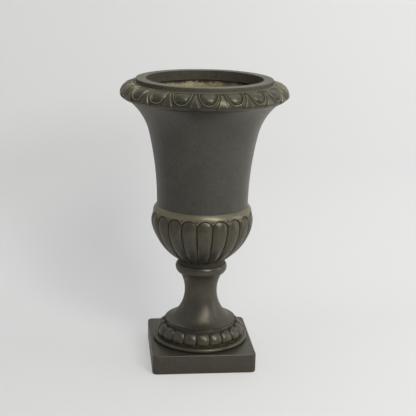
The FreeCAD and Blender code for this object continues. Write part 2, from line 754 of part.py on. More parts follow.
def carve(body, kind, name, sketch):
    """Pad or cut a sketch outwards from the carving's root."""
    feature = body.newObject(f"PartDesign::{kind}", name)
    feature.Profile = sketch
    feature.Reversed = kind == "Pocket"
    feature.Length = S["carving_reach"].value
    bind(feature, "Length", S["carving_reach"])
    sketch.Visibility = False
    doc.recompute()
    return feature


def make_egg_ring():
    """Rounded moulding carved with eggs in raised borders and with darts between them.

    A plain core carries the eggs, which are lobes rolled over the section.  Round each egg the
    space is cleared, the ground is laid in, and then the borders and the darts are set on it
    and all of it is turned down to the section's crest.
    """
    body = new_body("egg_and_dart_ring", egg_ring_base)
    body.Placement = Placement(Vector(0, 0, egg_ring_base.value),
                               Rotation(Vector(0, 0, -1), S["egg_ring_turn"].value))
    bind(body, "Placement.Base.z", egg_ring_base)
    bind(body, "Placement.Rotation.Angle", S["egg_ring_turn"])
    height = S["egg_ring_height"]
    bore = S["egg_ring_bore_radius"]
    lip = S["lip_outer_radius"]
    crest = S["ovolo_radius"]
    centre_r = ovolo_centre()
    centre_z = S["ovolo_centre_height"]
    heart = S["ovolo_heart_radius"]
    inset = S["ovolo_heart_inset"]
    count = S["egg_count"]
    core = outline(
        new_sketch(body, "EggRingHeartProfile"),
        [(bore + inset, inset), (centre_r, inset), (centre_r + heart, centre_z),
         (centre_r, centre_z + heart), (bore + inset, centre_z + heart)],
        {2: Bow(+1, heart, radius=heart)})
    turn(body, "Revolution", "EggRingHeart", core)

    egg = S["egg_radius"]
    rise = S["egg_rise"]
    bow = (egg * egg + rise * rise) / (rise * 2)
    lean = S["egg_lean"]
    flank = egg * EDGE_OVERLAP
    side = crest - S["egg_sink"] - bow + leg(bow, flank)
    section = outline(
        new_sketch(body, "EggSection", "XY_Plane", (centre_r, None, centre_z), [("0; -1; 0", lean)]),
        [(0, -flank), (side, -flank), (side, flank), (0, flank)],
        {1: Bow(+1, bow, radius=bow)})
    lobe = turn(body, "Revolution", "Egg", section)
    lobe.Midplane = True
    lobe.Angle = S["egg_sweep"].value
    bind(lobe, "Angle", S["egg_sweep"])
    doc.recompute()
    polar(body, "Eggs", [lobe], count)

    clearing = new_sketch(body, "EggClearingPlan", "YZ_Plane", *egg_frame(S["clearing_root"]))
    circle(clearing, egg)
    circle(clearing, S["egg_clearing"])
    cleared = carve(body, "Pocket", "EggClearing", clearing)
    polar(body, "EggClearings", [cleared], count)

    nose = S["ovolo_nose_radius"]
    ground_r = S["ovolo_ground_radius"]
    tuck = Size(60.0, "60")
    widest = centre_r + crest
    edge = widest - S["ovolo_ground_seat"]
    ground = outline(
        new_sketch(body, "EggRingProfile"),
        [(bore, 0), (BodyCurve(0.0).high(S["body_height"]), 0),
         (edge - nose + tuck.cosine() * nose, centre_z - tuck.sine() * nose),
         (edge, centre_z), (lip, height), (bore, height)],
        {2: Bow(+1, nose, radius=nose), 3: Bow(+1, ground_r, radius=ground_r)})
    turn(body, "Revolution", "EggRingGround", ground)

    border = new_sketch(body, "HuskPlan", "YZ_Plane", *egg_frame(S["carving_root"]))
    circle(border, S["husk_inner_radius"])
    circle(border, S["husk_outer_radius"])
    husk = carve(body, "Pad", "Husk", border)
    polar(body, "Husks", [husk], count)

    between = egg_frame(S["carving_root"], Size(180.0, "180") / count)
    top = S["dart_top_width"] / 2
    foot = S["dart_foot_width"] / 2
    wedge = outline(
        new_sketch(body, "DartPlan", "YZ_Plane", *between),
        [(-foot, -S["dart_foot"]), (foot, -S["dart_foot"]), (top, S["dart_top"]), (-top, S["dart_top"])])
    dart = carve(body, "Pad", "Dart", wedge)
    darts = polar(body, "Darts", [dart], count)

    before = darts.Shape.Volume
    far = widest + crest
    trim = outline(
        new_sketch(body, "EggRingTrimProfile"),
        [(far, centre_z), (far, height + crest), (bore, height + crest), (bore, height), (lip, height),
         (widest, centre_z)],
        {4: Bow(-1, crest, radius=crest)})
    turn(body, "Groove", "EggRingTrim", trim)
    if body.Shape.Volume >= before:
        raise RuntimeError("EggRingTrim: nothing was cut")
    return body


def make_lip_ring():
    """Flat lip with a painted band that turns down into the mouth and sits in the ring's bore."""
    body = new_body("lip_ring", lip_base)
    mouth = S["lip_inner_radius"]
    skirt_r = S["egg_ring_bore_radius"] - S["fit_gap"]
    height = S["lip_height"]
    profile = outline(
        new_sketch(body, "LipProfile"),
        [(mouth, -S["lip_skirt_depth"]), (skirt_r, -S["lip_skirt_depth"]), (skirt_r, 0),
         (S["lip_outer_radius"], 0), (S["lip_outer_radius"], height), (mouth, height)])
    lip = turn(body, "Revolution", "LipTurned", profile)
    round_edges(body, "LipEdges", lip, at_height(height), S["lip_edge"])
    return body


def make_body_lining():
    """Raw fibre backing: follows the body's inner face, then runs straight up behind the rim."""
    body = new_body("body_lining", body_base)
    height = S["body_height"]
    gap = S["fit_gap"]
    ledge = S["body_ledge"]
    outer = BodyCurve(S["body_wall"] + gap)
    inner = BodyCurve(S["body_wall"] + gap + S["lining_thickness"])
    throat = S["lining_throat_radius"]
    neck = S["egg_ring_bore_radius"] - gap
    top = height + S["egg_ring_height"] - S["lip_skirt_depth"]
    profile = outline(
        new_sketch(body, "LiningProfile"),
        [(inner.low(ledge), ledge), (outer.low(ledge), ledge), outer.turn_point,
         (outer.high(height), height), (neck, height), (neck, top), (throat, top),
         (throat, inner.height_at(throat)), inner.turn_point],
        {1: Bow(-1, outer.long_radius, radius=outer.long_radius),
         2: Bow(-1, outer.flare_radius, radius=outer.flare_radius),
         7: Bow(+1, inner.flare_radius, radius=inner.flare_radius),
         8: Bow(+1, inner.long_radius, radius=inner.long_radius)})
    turn(body, "Revolution", "LiningTurned", profile)
    return body


def make_bowl_lining():
    """Raw fibre backing inside the bowl, with the rod's and the drain's holes."""
    body = new_body("bowl_lining", bowl_base)
    wall = S["bowl_wall"] + S["fit_gap"]
    floor = S["bowl_floor"]
    thick = S["lining_thickness"]
    mouth = S["bowl_mouth_radius"] - S["fit_gap"]
    top = S["bowl_height"] - S["body_register_height"] - S["register_relief"]
    block = outline(new_sketch(body, "BowlLiningBlock"), bowl_hollow(wall, floor, mouth, top),
                    bowl_hollow_bows(wall))
    solid = turn(body, "Revolution", "BowlLiningTurned", block)
    before = solid.Shape.Volume
    space = outline(
        new_sketch(body, "BowlLiningSpace"),
        bowl_hollow(wall + thick, floor + S["bowl_lining_floor"], mouth - thick, top + thick),
        bowl_hollow_bows(wall + thick))
    turn(body, "Groove", "BowlLiningHollow", space)
    if body.Shape.Volume >= before:
        raise RuntimeError("BowlLiningHollow: nothing was cut")
    holes = new_sketch(body, "BowlLiningHolePlan", "XY_Plane")
    circle(holes, S["rod_hole_radius"])
    circle(holes, S["drain_radius"], S["drain_offset"])
    cut_through(body, "BowlLiningHoles", holes)
    return body


# ---------------------------------------------------------------- rod and what it holds
def part_object(kind, name, base, **sizes):
    """A primitive whose sizes and height above the floor are bound to the sheet."""
    thing = doc.addObject(kind, name)
    for path, size in sizes.items():
        setattr(thing, path, size.value)
        bind(thing, path, size)
    thing.Placement = Placement(Vector(0, 0, base.value), Rotation())
    bind(thing, "Placement.Base.z", base)
    return thing


def bored(label, blank, bore, base, height):
    """A primitive with an upright hole right through it."""
    drill = part_object("Part::Cylinder", f"{label}_bore", base - height, Radius=bore, Height=height * 3)
    piece = doc.addObject("Part::Cut", label)
    piece.Label = label
    piece.Base = blank
    piece.Tool = drill
    return piece


def make_washer(label, base, radius, thickness):
    """A round disc with the rod's hole."""
    blank = part_object("Part::Cylinder", f"{label}_disc", base, Radius=radius, Height=thickness)
    return bored(label, blank, S["rod_radius"] + S["hardware_gap"], base, thickness)


def make_nut(label, base):
    """A hexagon nut."""
    across_corners = S["nut_flats"] / Size(30.0, "30").cosine() / 2
    blank = part_object("Part::Prism", f"{label}_hexagon", base,
                        Circumradius=across_corners, Height=S["nut_height"])
    blank.Polygon = 6
    return bored(label, blank, S["rod_radius"] + S["hardware_gap"], base, S["nut_height"])


def make_hardware():
    """Rod, nuts, washers, gasket and spreader bar, stacked from the deck and from the floor."""
    deck = S["plinth_height"] - S["plinth_deck"]
    bar_base = deck - S["spreader_thickness"]
    low_washer = bar_base - S["washer_thickness"]
    low_nut = low_washer - S["nut_height"]
    gasket = bowl_base + S["bowl_floor"] + S["bowl_lining_floor"]
    high_washer = gasket + S["gasket_thickness"]
    high_nut = high_washer + S["washer_thickness"]
    rod_base = low_nut - S["rod_end"]
    rod_top = high_nut + S["nut_height"] + S["rod_end"]
    rod = part_object("Part::Cylinder", "tie_rod", rod_base, Radius=S["rod_radius"], Height=rod_top - rod_base)
    rod.Label = "tie_rod"
    bar = part_object("Part::Box", "spreader_bar_blank", bar_base, Length=S["spreader_width"],
                      Width=S["spreader_length"], Height=S["spreader_thickness"])
    bind(bar, "Placement.Base.x", -S["spreader_width"] / 2)
    bind(bar, "Placement.Base.y", -S["spreader_length"] / 2)
    bar_bore = S["rod_radius"] + S["hardware_gap"]
    return [
        rod,
        make_nut("top_nut", high_nut),
        make_washer("top_washer", high_washer, S["washer_radius"], S["washer_thickness"]),
        make_washer("sealing_gasket", gasket, S["gasket_radius"], S["gasket_thickness"]),
        bored("spreader_bar", bar, bar_bore, bar_base, S["spreader_thickness"]),
        make_washer("bottom_washer", low_washer, S["washer_radius"], S["washer_thickness"]),
        make_nut("bottom_nut", low_nut),
    ]


def check_and_export(pieces):
    """Stop on any failed object or unsound shape, then write one file for each piece."""
    doc.recompute()
    for thing in doc.Objects:
        if "Invalid" in thing.State or "Error" in thing.State:
            raise RuntimeError(f"{thing.Label} failed: {thing.State}")
    os.makedirs("parts", exist_ok=True)
    for piece in pieces:
        if piece.Shape.isNull() or not piece.Shape.isValid():
            raise RuntimeError(f"{piece.Label}: unsound shape")
        piece.Shape.exportStep(f"parts/{piece.Label}.step")
        box = piece.Shape.BoundBox
        print(f"{piece.Label:20s} solids {len(piece.Shape.Solids)} faces {len(piece.Shape.Faces):4d} "
              f"volume {piece.Shape.Volume / 1000:9.1f} cm3  z {box.ZMin:7.1f} to {box.ZMax:7.1f}")


def main():
    """Make every piece and write it."""
    check_and_export([
        make_plinth(),
        make_bead_ring(),
        make_foot_gadroon_ring(),
        make_stem(),
        make_knop(),
        make_bowl(),
        make_body(),
        make_egg_ring(),
        make_lip_ring(),
        make_body_lining(),
        make_bowl_lining(),
    ] + make_hardware())


main()
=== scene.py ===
"""Urn planter, dressed: bronze patina over fibre clay, rubbed edges and a raw fibre lining.

The turned sections are closed outlines in the plane of radius and height, carried round the
urn's axis on a grid.  Lobes, eggs and darts are reliefs: each grid point moves along the
outline's normal by a height worked out from its place on the section and its azimuth.
Sizes are in millimetres and become metres when a grid is made a mesh.
"""

import logging
import math
from dataclasses import dataclass
from enum import Enum
from typing import Optional, Sequence

import bpy
import numpy as np
from mathutils import Matrix, Vector


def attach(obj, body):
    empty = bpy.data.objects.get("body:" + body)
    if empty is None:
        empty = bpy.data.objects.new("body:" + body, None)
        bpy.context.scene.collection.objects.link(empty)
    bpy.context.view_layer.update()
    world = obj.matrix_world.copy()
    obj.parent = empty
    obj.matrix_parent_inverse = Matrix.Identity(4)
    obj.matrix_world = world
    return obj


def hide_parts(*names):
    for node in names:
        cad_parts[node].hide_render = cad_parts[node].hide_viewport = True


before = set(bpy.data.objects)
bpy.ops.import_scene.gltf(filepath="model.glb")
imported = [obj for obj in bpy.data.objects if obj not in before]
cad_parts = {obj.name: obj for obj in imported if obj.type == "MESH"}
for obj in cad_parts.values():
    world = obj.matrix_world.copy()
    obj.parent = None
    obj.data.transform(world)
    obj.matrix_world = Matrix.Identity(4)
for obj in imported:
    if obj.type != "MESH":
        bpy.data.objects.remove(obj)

log = logging.getLogger("urn")
MM = 0.001
Pair = tuple[float, float]
Triple = tuple[float, float, float]
Colour = Triple
Array = np.ndarray
Socket = bpy.types.NodeSocket


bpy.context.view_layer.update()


class Way(Enum):
    """Which way an arc turns."""

    LEFT = 1
    RIGHT = -1


# ---- outlines
def arc(centre: Pair, radius: float, start: float, end: float, step: float) -> Array:
    """Points of a circular arc at even angles.

    Args:
        centre: Radius and height of the arc's centre.
        radius: The arc's own radius.
        start: First angle in degrees, 0 outwards and 90 up.
        end: Last angle in degrees.
        step: Wanted spacing of the points.

    Returns:
        An array of (radius, height) rows.
    """
    count = max(4, int(abs(math.radians(end - start)) * radius / step) + 2)
    angles = np.radians(np.linspace(start, end, count))
    return np.stack([centre[0] + radius * np.cos(angles), centre[1] + radius * np.sin(angles)], 1)


def arc_between(first: Sequence[float], last: Sequence[float], radius: float, way: Way,
                step: float) -> Array:
    """The arc of a radius between two points: its centre is square to the chord's middle.

    Args:
        first: Start as (radius, height).
        last: End as (radius, height).
        radius: The arc's radius.
        way: Whether it turns left or right on its way.
        step: Wanted spacing of the points.

    Returns:
        An array of (radius, height) rows.
    """
    a, b = np.asarray(first, float), np.asarray(last, float)
    half = (b - a) / 2
    length = float(np.hypot(*half))
    left = np.array([-half[1], half[0]]) / length
    centre = a + half + left * way.value * math.sqrt(max(radius * radius - length * length, 0.0))
    start = math.atan2(*(a - centre)[::-1])
    sweep = (math.atan2(*(b - centre)[::-1]) - start) * way.value % math.tau * way.value
    return arc((centre[0], centre[1]), radius, math.degrees(start),
               math.degrees(start + sweep), step)


def straight(points: Sequence[Sequence[float]], step: float) -> Array:
    """Points along a chain of straight runs, evenly spaced on each run.

    Args:
        points: The corners as (radius, height).
        step: Wanted spacing of the points.

    Returns:
        An array of (radius, height) rows.
    """
    rows = []
    for a, b in zip(points[:-1], points[1:]):
        count = max(2, int(math.dist(a, b) / step) + 1)
        rows.append(np.linspace(a, b, count, endpoint=False))
    rows.append(np.asarray([points[-1]], float))
    return np.concatenate(rows)


def outline(*runs: Array) -> Array:
    """Join runs into one closed outline and drop points that fall on the one before."""
    loop = np.concatenate(runs)
    gap = np.hypot(*(loop - np.roll(loop, 1, 0)).T)
    return loop[gap > 1e-4]


def normals(loop: Array) -> Array:
    """Outward unit normals of a closed outline: the run from the point before to the point
    after, turned a quarter right."""
    run = np.roll(loop, -1, 0) - np.roll(loop, 1, 0)
    turned = np.stack([run[:, 1], -run[:, 0]], 1)
    return turned / np.linalg.norm(turned, axis=1, keepdims=True)


def smooth_step(low: float, high: float, value: Array) -> Array:
    """0 below low, 1 above high and a smooth S between."""
    share = np.clip((value - low) / (high - low), 0.0, 1.0)
    return share * share * (3.0 - 2.0 * share)


def blurred(values: Array, sigma: float, axis: int) -> Array:
    """Gaussian average along one axis of a closed grid, as a weighted sum of shifted copies.

    Args:
        values: The grid, which closes on itself along that axis.
        sigma: Width of the average in grid steps.
        axis: Axis to average along.

    Returns:
        The averaged grid.
    """
    reach = max(1, int(math.ceil(sigma * 2.5)))
    offsets = np.arange(-reach, reach + 1)
    weights = np.exp(-0.5 * (offsets / max(sigma, 1e-6)) ** 2)
    weights /= weights.sum()
    total = np.zeros_like(values)
    for offset, weight in zip(offsets, weights):
        total += weight * np.roll(values, -offset, axis)
    return total


# ---- meshes
def grid_object(name: str, points: Array, closed: bool = True,
                fields: Optional[dict[str, Array]] = None,
                crease: float = 38.0) -> bpy.types.Object:
    """Make a mesh of four-sided faces from a grid of points in metres.

    Args:
        name: Name of the object and its mesh.
        points: Array of rows by columns by 3.
        closed: Join the last row and the last column to the first.
        fields: Named values per point, kept as attributes.
        crease: Angle in degrees past which an edge shades sharp.

    Returns:
        The new object, at the origin.
    """
    rows, columns = points.shape[:2]
    here = np.arange(rows * columns).reshape(rows, columns)
    right = np.roll(here, -1, 1)
    faces = np.stack([here, right, np.roll(right, -1, 0), np.roll(here, -1, 0)], -1)
    faces = (faces if closed else faces[:-1, :-1]).reshape(-1, 4)
    mesh = bpy.data.meshes.new(name)
    mesh.vertices.add(rows * columns)
    mesh.vertices.foreach_set("co", points.astype(np.float32).ravel())
    mesh.loops.add(faces.size)
    mesh.loops.foreach_set("vertex_index", faces.astype(np.int32).ravel())
    mesh.polygons.add(len(faces))
    mesh.polygons.foreach_set("loop_start", np.arange(0, faces.size, 4, dtype=np.int32))
    mesh.update(calc_edges=True)
    for key, values in (fields or {}).items():
        attribute = mesh.attributes.new(key, "FLOAT", "POINT")
        attribute.data.foreach_set("value", values.astype(np.float32).ravel())
    mesh.shade_smooth()
    mesh.set_sharp_from_angle(angle=math.radians(crease))
    thing = bpy.data.objects.new(name, mesh)
    bpy.context.scene.collection.objects.link(thing)
    return thing


def surface_relief(points: Array, sigma: float) -> Array:
    """How far each point stands above the average of its surroundings, along the surface normal.

    The surroundings are a Gaussian average of the grid in both directions; the normal is the
    cross product of the grid's two central differences.

    Args:
        points: Grid in millimetres, closed both ways.
        sigma: Width of the average in millimetres.

    Returns:
        One height in millimetres for each point: above 0 on ridges, below 0 in hollows.
    """
    def difference(axis: int) -> Array:
        """Central difference along an axis."""
        return np.roll(points, -1, axis) - np.roll(points, 1, axis)

    around, along = difference(1), difference(0)
    normal = np.cross(around, along)
    normal /= np.maximum(np.linalg.norm(normal, axis=-1, keepdims=True), 1e-9)
    step_around = float(np.median(np.linalg.norm(around, axis=-1))) / 2
    step_along = float(np.median(np.linalg.norm(along, axis=-1))) / 2
    average = blurred(blurred(points, sigma / step_along, 0), sigma / step_around, 1)
    height = ((points - average) * normal).sum(-1)
    return height - np.median(height)


@dataclass
class Turned:
    """A section turned round the axis: its outline, relief along the normals, and wear.

    Relief is a height for each point of the grid.  The others are a number for each point of
    the outline: worn scales how much a ridge is rubbed, painted_shade is painted shade in the
    grime colour, and painted_light is added to the relief: above 0 a painted highlight, below 0
    painted shade.
    """

    name: str
    loop: Array
    steps: int = 360
    relief: Optional[Array] = None
    wobble: float = 0.0
    wear_width: float = 2.2
    worn: Optional[Array] = None
    painted_shade: Optional[Array] = None
    painted_light: Optional[Array] = None

    def azimuths(self) -> Array:
        """Azimuths of the grid's columns in degrees, 0 towards -Y and 90 towards +X."""
        return np.arange(self.steps) * 360.0 / self.steps

    def build(self) -> bpy.types.Object:
        """Carry the outline round the axis and move it by its relief.

        Returns:
            The finished object with the attributes "relief" (above 0 on ridges, below 0 in
            hollows, moved by the painted light) and "painted_shade" (1 where shade is painted).
        """
        azimuth = np.radians(self.azimuths())[None, :]
        out = normals(self.loop)
        height = np.zeros((len(self.loop), self.steps)) if self.relief is None else self.relief
        if self.wobble:
            waves = (np.sin(azimuth * 3 + 0.7) + 0.6 * np.sin(azimuth * 7 + 2.1)) / 1.6
            height = height + self.wobble * (waves - 1)
        radius = self.loop[:, :1] + out[:, :1] * height
        level = self.loop[:, 1:] + out[:, 1:] * height
        points = np.stack([radius * np.sin(azimuth), -radius * np.cos(azimuth),
                           level + 0 * azimuth], -1)
        relief = surface_relief(points, self.wear_width)
        if self.worn is not None:
            relief = np.minimum(relief, relief * self.worn[:, None])
        # painted light: raising the relief paints a highlight in the rub colour, lowering it paints
        # shade
        if self.painted_light is not None:
            relief = relief + self.painted_light[:, None]
        # painted shade: 1 where shade is painted in the grime colour
        painted_shade = np.zeros(relief.shape) if self.painted_shade is None else self.painted_shade[:, None] + 0 * relief
        return grid_object(self.name, points * MM, fields={"relief": relief, "painted_shade": painted_shade})


# ---- shader nodes
class Shader:
    """A node tree with short calls for the nodes that the finishes use."""

    def __init__(self, name: str) -> None:
        """Start an empty material."""
        self.material = bpy.data.materials.new(name)
        self.material.use_nodes = True
        self.tree = self.material.node_tree
        self.tree.nodes.clear()
        self.output = self.tree.nodes.new("ShaderNodeOutputMaterial")
        self.place = self.tree.nodes.new("ShaderNodeTexCoord").outputs["Object"]

    def put(self, socket: Socket, value: object) -> None:
        """Link a socket to another one, or give it a plain value."""
        if isinstance(value, Socket):
            self.tree.links.new(value, socket)
        elif value is not None:
            socket.default_value = (*value, 1.0) if isinstance(value, tuple) and len(value) == 3 \
                and socket.type == "RGBA" else value

    def node(self, kind: str, output: str | int, inputs: Optional[dict] = None,
             **settings: object) -> Socket:
        """Add a node and give back one of its outputs.

        Args:
            kind: The node's type without its leading "ShaderNode".
            output: Name or number of the output.
            inputs: Values or sockets for the node's inputs, by name or number.
            settings: The node's own properties.

        Returns:
            The output's socket.
        """
        node = self.tree.nodes.new("ShaderNode" + kind)
        for key, item in settings.items():
            setattr(node, key, item)
        for key, item in (inputs or {}).items():
            self.put(node.inputs[key], item)
        return node.outputs[output]

    def axis(self, name: str) -> Socket:
        """One of the Object coordinates X, Y and Z, in metres."""
        return self.node("SeparateXYZ", name, {0: self.place})

    def noise(self, scale: float, detail: float = 4.0, rough: float = 0.55,
              stretch: Optional[Triple] = None) -> Socket:
        """Soft noise on Object coordinates, which may be scaled along each axis first."""
        where = self.place
        if stretch:
            where = self.node("Mapping", "Vector", {"Vector": where, "Scale": stretch})
        return self.node("TexNoise", "Fac", {"Vector": where, "Scale": scale, "Detail": detail,
                                             "Roughness": rough})

    def cells(self, scale: float) -> Socket:
        """Distance to the nearest of scattered points."""
        return self.node("TexVoronoi", "Distance", {"Vector": self.place, "Scale": scale})

    def value(self, name: str) -> Socket:
        """A mesh attribute."""
        return self.node("Attribute", "Fac", attribute_name=name)

    def sum(self, kind: str, first: object, second: object = None, third: object = None,
            clamp: bool = False) -> Socket:
        """A Math node."""
        return self.node("Math", 0, {0: first, 1: second, 2: third}, operation=kind,
                         use_clamp=clamp)

    def swing(self, noise: Socket, reach: float, level: Socket) -> Socket:
        """A level moved up and down by a noise about its middle."""
        return self.sum("MULTIPLY_ADD", self.sum("SUBTRACT", noise, 0.5), reach, level)

    def span(self, value: Socket, low: float, high: float, to_low: float = 0.0,
             to_high: float = 1.0) -> Socket:
        """Map a range of values smoothly to another."""
        return self.node("MapRange", "Result", {"Value": value, "From Min": low, "From Max": high,
                                                "To Min": to_low, "To Max": to_high},
                         interpolation_type="SMOOTHSTEP")

    def mix(self, share: object, first: object, second: object) -> Socket:
        """Mix two colours."""
        return self.node("Mix", 2, {0: share, 6: first, 7: second}, data_type="RGBA")

    def bump(self, height: Socket, strength: float, depth: float,
             before: Optional[Socket] = None) -> Socket:
        """A bump that may follow another."""
        return self.node("Bump", "Normal", {"Strength": strength, "Distance": depth,
                                            "Height": height, "Normal": before})

    def surface(self, **sockets: object) -> Socket:
        """One Principled shader, its sockets given by name."""
        return self.node("BsdfPrincipled", "BSDF",
                         {key.replace("_", " "): item for key, item in sockets.items()})

    def finish(self, shade: Socket) -> bpy.types.Material:
        """Send a shader to the material's output."""
        self.put(self.output.inputs["Surface"], shade)
        return self.material


# ---- finishes
@dataclass(frozen=True)
class BronzePatina:
    """Dark bronze paint over moulded clay: mottled ground, rubbed ridges, grime in hollows, painted
    shade and painted highlights.
    """

    name: str
    ground: Colour = (0.044, 0.0425, 0.036)
    warm: Colour = (0.060, 0.056, 0.038)
    # rubbed_and_sheen: colour of rubbed ridges, and of painted sheen where painted light raised the
    # relief
    rubbed_and_sheen: Colour = (0.28, 0.26, 0.17)
    # grime_and_shade: grime in hollows and mottling, and the colour of painted shade
    grime_and_shade: Colour = (0.012, 0.011, 0.008)
    tint: Colour = (1.0, 0.93, 0.74)
    metal: float = 0.3
    gloss: float = 0.8
    roughness: float = 0.35
    rub_low: float = 0.10
    rub_high: float = 0.42
    rub_share: float = 0.75
    grime_low: float = 0.06
    grime_high: float = 0.5
    speckle: float = 0.15
    mottle: float = 0.35
    wander: float = 0.55
    cover: float = 0.85
    rough_spread: float = 0.16
    hollow_rough: float = 0.3
    shade_rough: float = 0.35
    cloud_scale: float = 9.0
    fine_scale: float = 95.0
    fleck_scale: float = 520.0
    dent_scale: float = 38.0
    pore_scale: float = 420.0
    dent: float = 0.1225
    grain: float = 0.175

    def material(self) -> bpy.types.Material:
        """Build the patina from noise on Object coordinates, the mesh's relief and its painted
        shade.

        Returns:
            The finished material.
        """
        shader = Shader(self.name)
        relief, painted_shade = shader.value("relief"), shader.value("painted_shade")
        cloud = shader.noise(self.cloud_scale, 5.0, 0.6)
        fine = shader.noise(self.fine_scale, 5.0, 0.62)
        flecks = shader.span(shader.noise(self.fleck_scale, 2.0, 0.5), 0.58, 0.72)
        # rubbed ridges, and a painted highlight where painted light raised the relief
        ridge = shader.span(shader.swing(fine, self.wander, relief), self.rub_low, self.rub_high,
                            0.0, self.rub_share)
        hollow = shader.span(shader.sum("MULTIPLY", relief, -1.0), self.grime_low, self.grime_high)
        base = shader.mix(shader.span(cloud, 0.38, 0.66), self.ground, self.warm)
        for share, colour in ((shader.span(fine, 0.35, 0.75, 0.0, self.mottle), self.grime_and_shade),
                              (shader.sum("MULTIPLY", flecks, self.speckle), self.rubbed_and_sheen),
                              (ridge, self.rubbed_and_sheen),
                              (shader.sum("MULTIPLY", hollow, self.cover), self.grime_and_shade),
                              # painted shade: the painted_shade attribute mixes in the grime colour
                              (shader.sum("MULTIPLY", painted_shade, self.cover), self.grime_and_shade)):
            base = shader.mix(share, base, colour)
        rough = shader.sum("MULTIPLY_ADD", fine, self.rough_spread,
                           self.roughness - self.rough_spread / 2)
        rough = shader.sum("MULTIPLY_ADD", hollow, self.hollow_rough, rough)
        # rougher where shade is painted
        rough = shader.sum("MULTIPLY_ADD", painted_shade, self.shade_rough, rough, clamp=True)
        skin = shader.bump(shader.noise(self.dent_scale, 3.0, 0.5), self.dent, 0.002)
        skin = shader.bump(fine, self.grain, 0.0008, skin)
        skin = shader.bump(shader.noise(self.pore_scale, 3.0, 0.6), self.grain, 0.0003, skin)
        return shader.finish(shader.surface(
            Base_Color=base, Metallic=self.metal, Roughness=rough, Normal=skin,
            Specular_IOR_Level=self.gloss, Specular_Tint=self.tint))


@dataclass(frozen=True)
class RawFibre:
    """Unpainted fibre clay: tan, matted strands, dark pits, dark above an uneven line near its top,
    and painted shade towards +X.
    """

    name: str
    light: Colour = (0.60, 0.53, 0.33)
    dark: Colour = (0.30, 0.255, 0.15)
    stain_and_shade: Colour = (0.03, 0.027, 0.02)
    stain_top: float = 0.768
    stain_blur: float = 0.006
    # side_shade: painted shade, darker towards +X
    side_shade: float = 0.7
    side_shade_from: float = -0.03
    side_shade_to: float = 0.09

    def material(self) -> bpy.types.Material:
        """Build the fibre from stretched noise and cells on Object coordinates.

        Returns:
            The finished material.
        """
        shader = Shader(self.name)
        strands = shader.noise(160.0, 6.0, 0.7, (1.0, 1.0, 2.2))
        pits = shader.span(shader.cells(150.0), 0.10, 0.34)
        cloud = shader.noise(26.0, 4.0, 0.6)
        # painted shade: darker towards +X, swung by the cloud noise
        side_shade = shader.swing(cloud, 0.12, shader.axis("X"))
        edge = shader.swing(strands, 0.03, shader.swing(cloud, 0.022, shader.axis("Z")))
        base = shader.mix(shader.span(strands, 0.34, 0.66), self.dark, self.light)
        for share, colour in ((shader.span(cloud, 0.42, 0.72, 0.0, 0.5), self.dark),
                              (shader.sum("SUBTRACT", 1.0, pits), self.stain_and_shade),
                              (shader.span(side_shade, self.side_shade_from, self.side_shade_to, 0.0, self.side_shade),
                               self.stain_and_shade),
                              # dark above an uneven line near the top
                              (shader.span(edge, self.stain_top - self.stain_blur, self.stain_top),
                               self.stain_and_shade)):
            base = shader.mix(share, base, colour)
        skin = shader.bump(cloud, 0.6, 0.004)
        skin = shader.bump(strands, 0.9, 0.002, skin)
        skin = shader.bump(pits, 0.8, 0.0015, skin)
        return shader.finish(shader.surface(Base_Color=base, Roughness=0.93, Normal=skin))


@dataclass(frozen=True)
class PlatedSteel:
    """Zinc plate: grey metal with a faint spangle."""

    name: str
    light: Colour = (0.60, 0.61, 0.62)
    dark: Colour = (0.40, 0.41, 0.43)

    def material(self) -> bpy.types.Material:
        """Build the plate from cells and noise."""
        shader = Shader(self.name)
        smear = shader.noise(60.0)
        base = shader.mix(shader.span(shader.cells(220.0), 0.1, 0.6), self.dark, self.light)
        return shader.finish(shader.surface(
            Base_Color=base, Metallic=1.0, Roughness=shader.span(smear, 0.3, 0.7, 0.28, 0.46),
            Normal=shader.bump(smear, 0.1, 0.0004)))


@dataclass(frozen=True)
class BlackRubber:
    """Matt black rubber."""

    name: str
    light: Colour = (0.035, 0.035, 0.036)
    dark: Colour = (0.018, 0.018, 0.018)

    def material(self) -> bpy.types.Material:
        """Build the rubber from fine noise."""
        shader = Shader(self.name)
        bloom = shader.noise(180.0)
        return shader.finish(shader.surface(
            Base_Color=shader.mix(bloom, self.dark, self.light), Roughness=0.8,
            Normal=shader.bump(bloom, 0.2, 0.0004)))


@dataclass(frozen=True)
class PaperSweep:
    """Pale seamless paper with painted shade towards -X and painted light towards +X; from behind
    the camera sees past it.
    """

    name: str
    # paper colour: painted shade to the left, painted light to the right
    left: Colour = (0.69, 0.695, 0.705)
    right: Colour = (0.72, 0.725, 0.735)
    glow_shaded_left: Colour = (0.80, 0.80, 0.80)
    glow_lit_right: Colour = (0.86, 0.86, 0.86)
    glow: float = 0.45

    def material(self) -> bpy.types.Material:
        """Build the paper from its place across the floor.

        Returns:
            The finished material.
        """
        shader = Shader(self.name)
        # painted light and shade across the sheet: darker towards -X, lighter towards +X
        across = shader.span(shader.axis("X"), -0.8, 0.9)
        paper = shader.surface(Base_Color=shader.mix(across, self.left, self.right), Roughness=0.9,
                               Normal=shader.bump(shader.noise(300.0), 0.04, 0.0005))
        light = shader.node("Emission", 0,
                            {"Color": shader.mix(across, self.glow_shaded_left, self.glow_lit_right)})
        seen = shader.node("LightPath", "Is Camera Ray")
        behind = shader.sum("MULTIPLY", seen, shader.node("NewGeometry", "Backfacing"))
        front = shader.node("MixShader", 0, {0: shader.sum("MULTIPLY", seen, self.glow),
                                             1: paper, 2: light})
        return shader.finish(shader.node(
            "MixShader", 0, {0: behind, 1: front, 2: shader.node("BsdfTransparent", 0)}))


Finish = BronzePatina | RawFibre | PlatedSteel | BlackRubber


